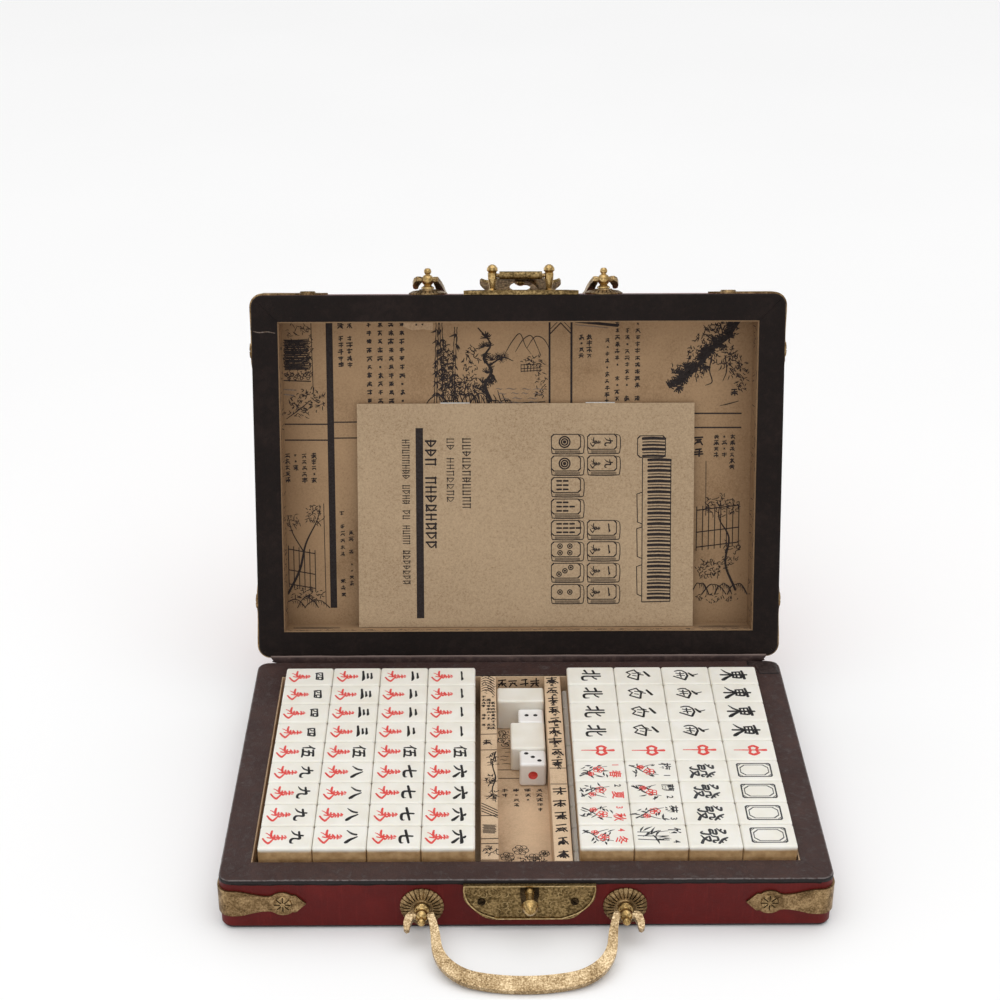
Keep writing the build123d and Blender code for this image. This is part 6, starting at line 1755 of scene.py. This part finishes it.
def corner_lump():
    """The folded end of the hinge strip, pressed flat on the rim's right back corner."""
    nx, ny = 26, 14
    verts, faces = [], []
    for i in range(nx + 1):
        for j in range(ny + 1):
            u, v = i / nx, j / ny
            x = 101.6 + 13.4 * u
            hi = 79.75 if x < 111 else 75 + math.sqrt(25 - (x - 111) ** 2) - 0.45
            q = min(max((x - IN_X - 0.1) / 1.6, 0.0), 1.0)
            lo = 75.6 - 7.4 * q * q * (3 - 2 * q) + 0.12 * math.sin(1.9 * x)
            y = lo + (hi - lo) * v
            edge = min(u * 5, (1 - u) * 9, v * 6.0, (1 - v) * 6.0, 1.0)
            h = 0.66 * math.sin(min(edge, 1.0) * math.pi / 2) * (0.75 + 0.25 * u)
            h += 0.13 * noise.noise(Vector((x * 0.55, y * 0.9, 2.0))) * min(edge, 1.0)
            verts.append((x * MM, y * MM, (HB - 0.05 + h) * MM))
    for i in range(nx):
        for j in range(ny):
            a = i * (ny + 1) + j
            faces.append([a, a + ny + 1, a + ny + 2, a + 1])
    me = bpy.data.meshes.new("hinge_strip_end")
    me.from_pydata(verts, [], faces)
    me.materials.append(END_LEATHER)
    for poly in me.polygons:
        poly.use_smooth = True
    ob = bpy.data.objects.new("hinge_strip_end", me)
    SCENE.collection.objects.link(ob)
    t = ob.modifiers.new("thickness", "SOLIDIFY")
    t.thickness = 0.25 * MM
    t.offset = -1.0
    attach(ob, "base")


corner_lump()

# pale seam across the rim at the lid's left side
seam = Ink((0, HINGE_Y, LID0), (1, 0, 0), (0, -1, 0), OPENED)
seam.stroke([(-115.0, 145.6, 0.2), (-112.4, 145.1, 0.42), (-109.0, 145.4, 0.34), (-105.6, 144.8, 0.22)], per=4)
seam.make("lid_rim_seam", PRINT_SOFT, "lid", thick=0.015, slot="rim_leather")
# at the hinge the corners are dressed over their mitres
dress = Ink((0, HINGE_Y, LID0), (1, 0, 0), (0, -1, 0), OPENED, lift=0.01)
for sx in (-1, 1):
    dress.stroke([(sx * (IN_X + 0.1), 12.3, 0.5), (sx * (IN_X + 4.5), 7.9, 0.6), (sx * (W / 2 - 3.2), 4.2, 0.5)], per=3)
dress.make("lid_rim_dressing", RIM_LID_SHADED, "lid", thick=0.012, slot="rim_leather")


# ---------------------------------------------------------------------------
# floor and light
# ---------------------------------------------------------------------------
def make_stage():
    me = bpy.data.meshes.new("floor")
    r = 6.0
    me.from_pydata([(-r, -r, -0.0002), (r, -r, -0.0002), (r, r, -0.0002), (-r, r, -0.0002)], [], [[0, 1, 2, 3]])
    k = Mat("floor")
    n = k.noise(3, 2, 0.5)
    k.link(k.ramp(n, [(0.3, (0.94, 0.94, 0.94)), (0.7, (0.955, 0.955, 0.955))]), "Base Color")
    k.put("Roughness", 0.9).put("Specular IOR Level", 0.0)
    me.materials.append(k.m)
    ob = bpy.data.objects.new("floor", me)
    SCENE.collection.objects.link(ob)

    # a tent: bright overhead, dimmer half-way up, white at the horizon behind the floor
    world = bpy.data.worlds.new("world")
    world.use_nodes = True
    nt = world.node_tree
    bg = nt.nodes["Background"]
    co = nt.nodes.new("ShaderNodeTexCoord")
    sep = nt.nodes.new("ShaderNodeSeparateXYZ")
    rise = nt.nodes.new("ShaderNodeValToRGB")
    cr = rise.color_ramp
    cr.elements[0].position, cr.elements[0].color = 0.0, (0.72, 0.72, 0.72, 1)
    cr.elements[1].position, cr.elements[1].color = 1.0, (0.95, 0.95, 0.95, 1)
    for at, v in ((0.255, 0.72), (0.34, 0.22), (0.55, 0.36)):
        e = cr.elements.new(at)
        e.color = (v, v, v, 1)
    gain = nt.nodes.new("ShaderNodeMath")
    gain.operation = "MULTIPLY"
    gain.inputs[1].default_value = 1.56
    nt.links.new(co.outputs["Generated"], sep.inputs[0])
    nt.links.new(sep.outputs["Z"], rise.inputs["Fac"])
    nt.links.new(rise.outputs["Color"], gain.inputs[0])
    nt.links.new(gain.outputs[0], bg.inputs["Strength"])
    bg.inputs["Color"].default_value = (1.0, 1.0, 1.0, 1)
    SCENE.world = world

    def area(name, loc, look, size, power, size_y=None):
        d = bpy.data.lights.new(name, "AREA")
        d.energy = power
        d.size = size
        if size_y:
            d.shape = "RECTANGLE"
            d.size_y = size_y
        o = bpy.data.objects.new(name, d)
        o.location = loc
        o.rotation_mode = "QUATERNION"
        o.rotation_quaternion = (Vector(look) - Vector(loc)).to_track_quat("-Z", "Y")
        SCENE.collection.objects.link(o)

    area("top", (0.1, -0.15, 1.5), (0, 0.03, 0.03), 1.4, 3.0)
    area("front", (-0.2, -1.3, 0.9), (0, 0, 0.05), 0.9, 2.0)
    SCENE.view_settings.view_transform = "Standard"
    SCENE.view_settings.look = "None"


make_stage()
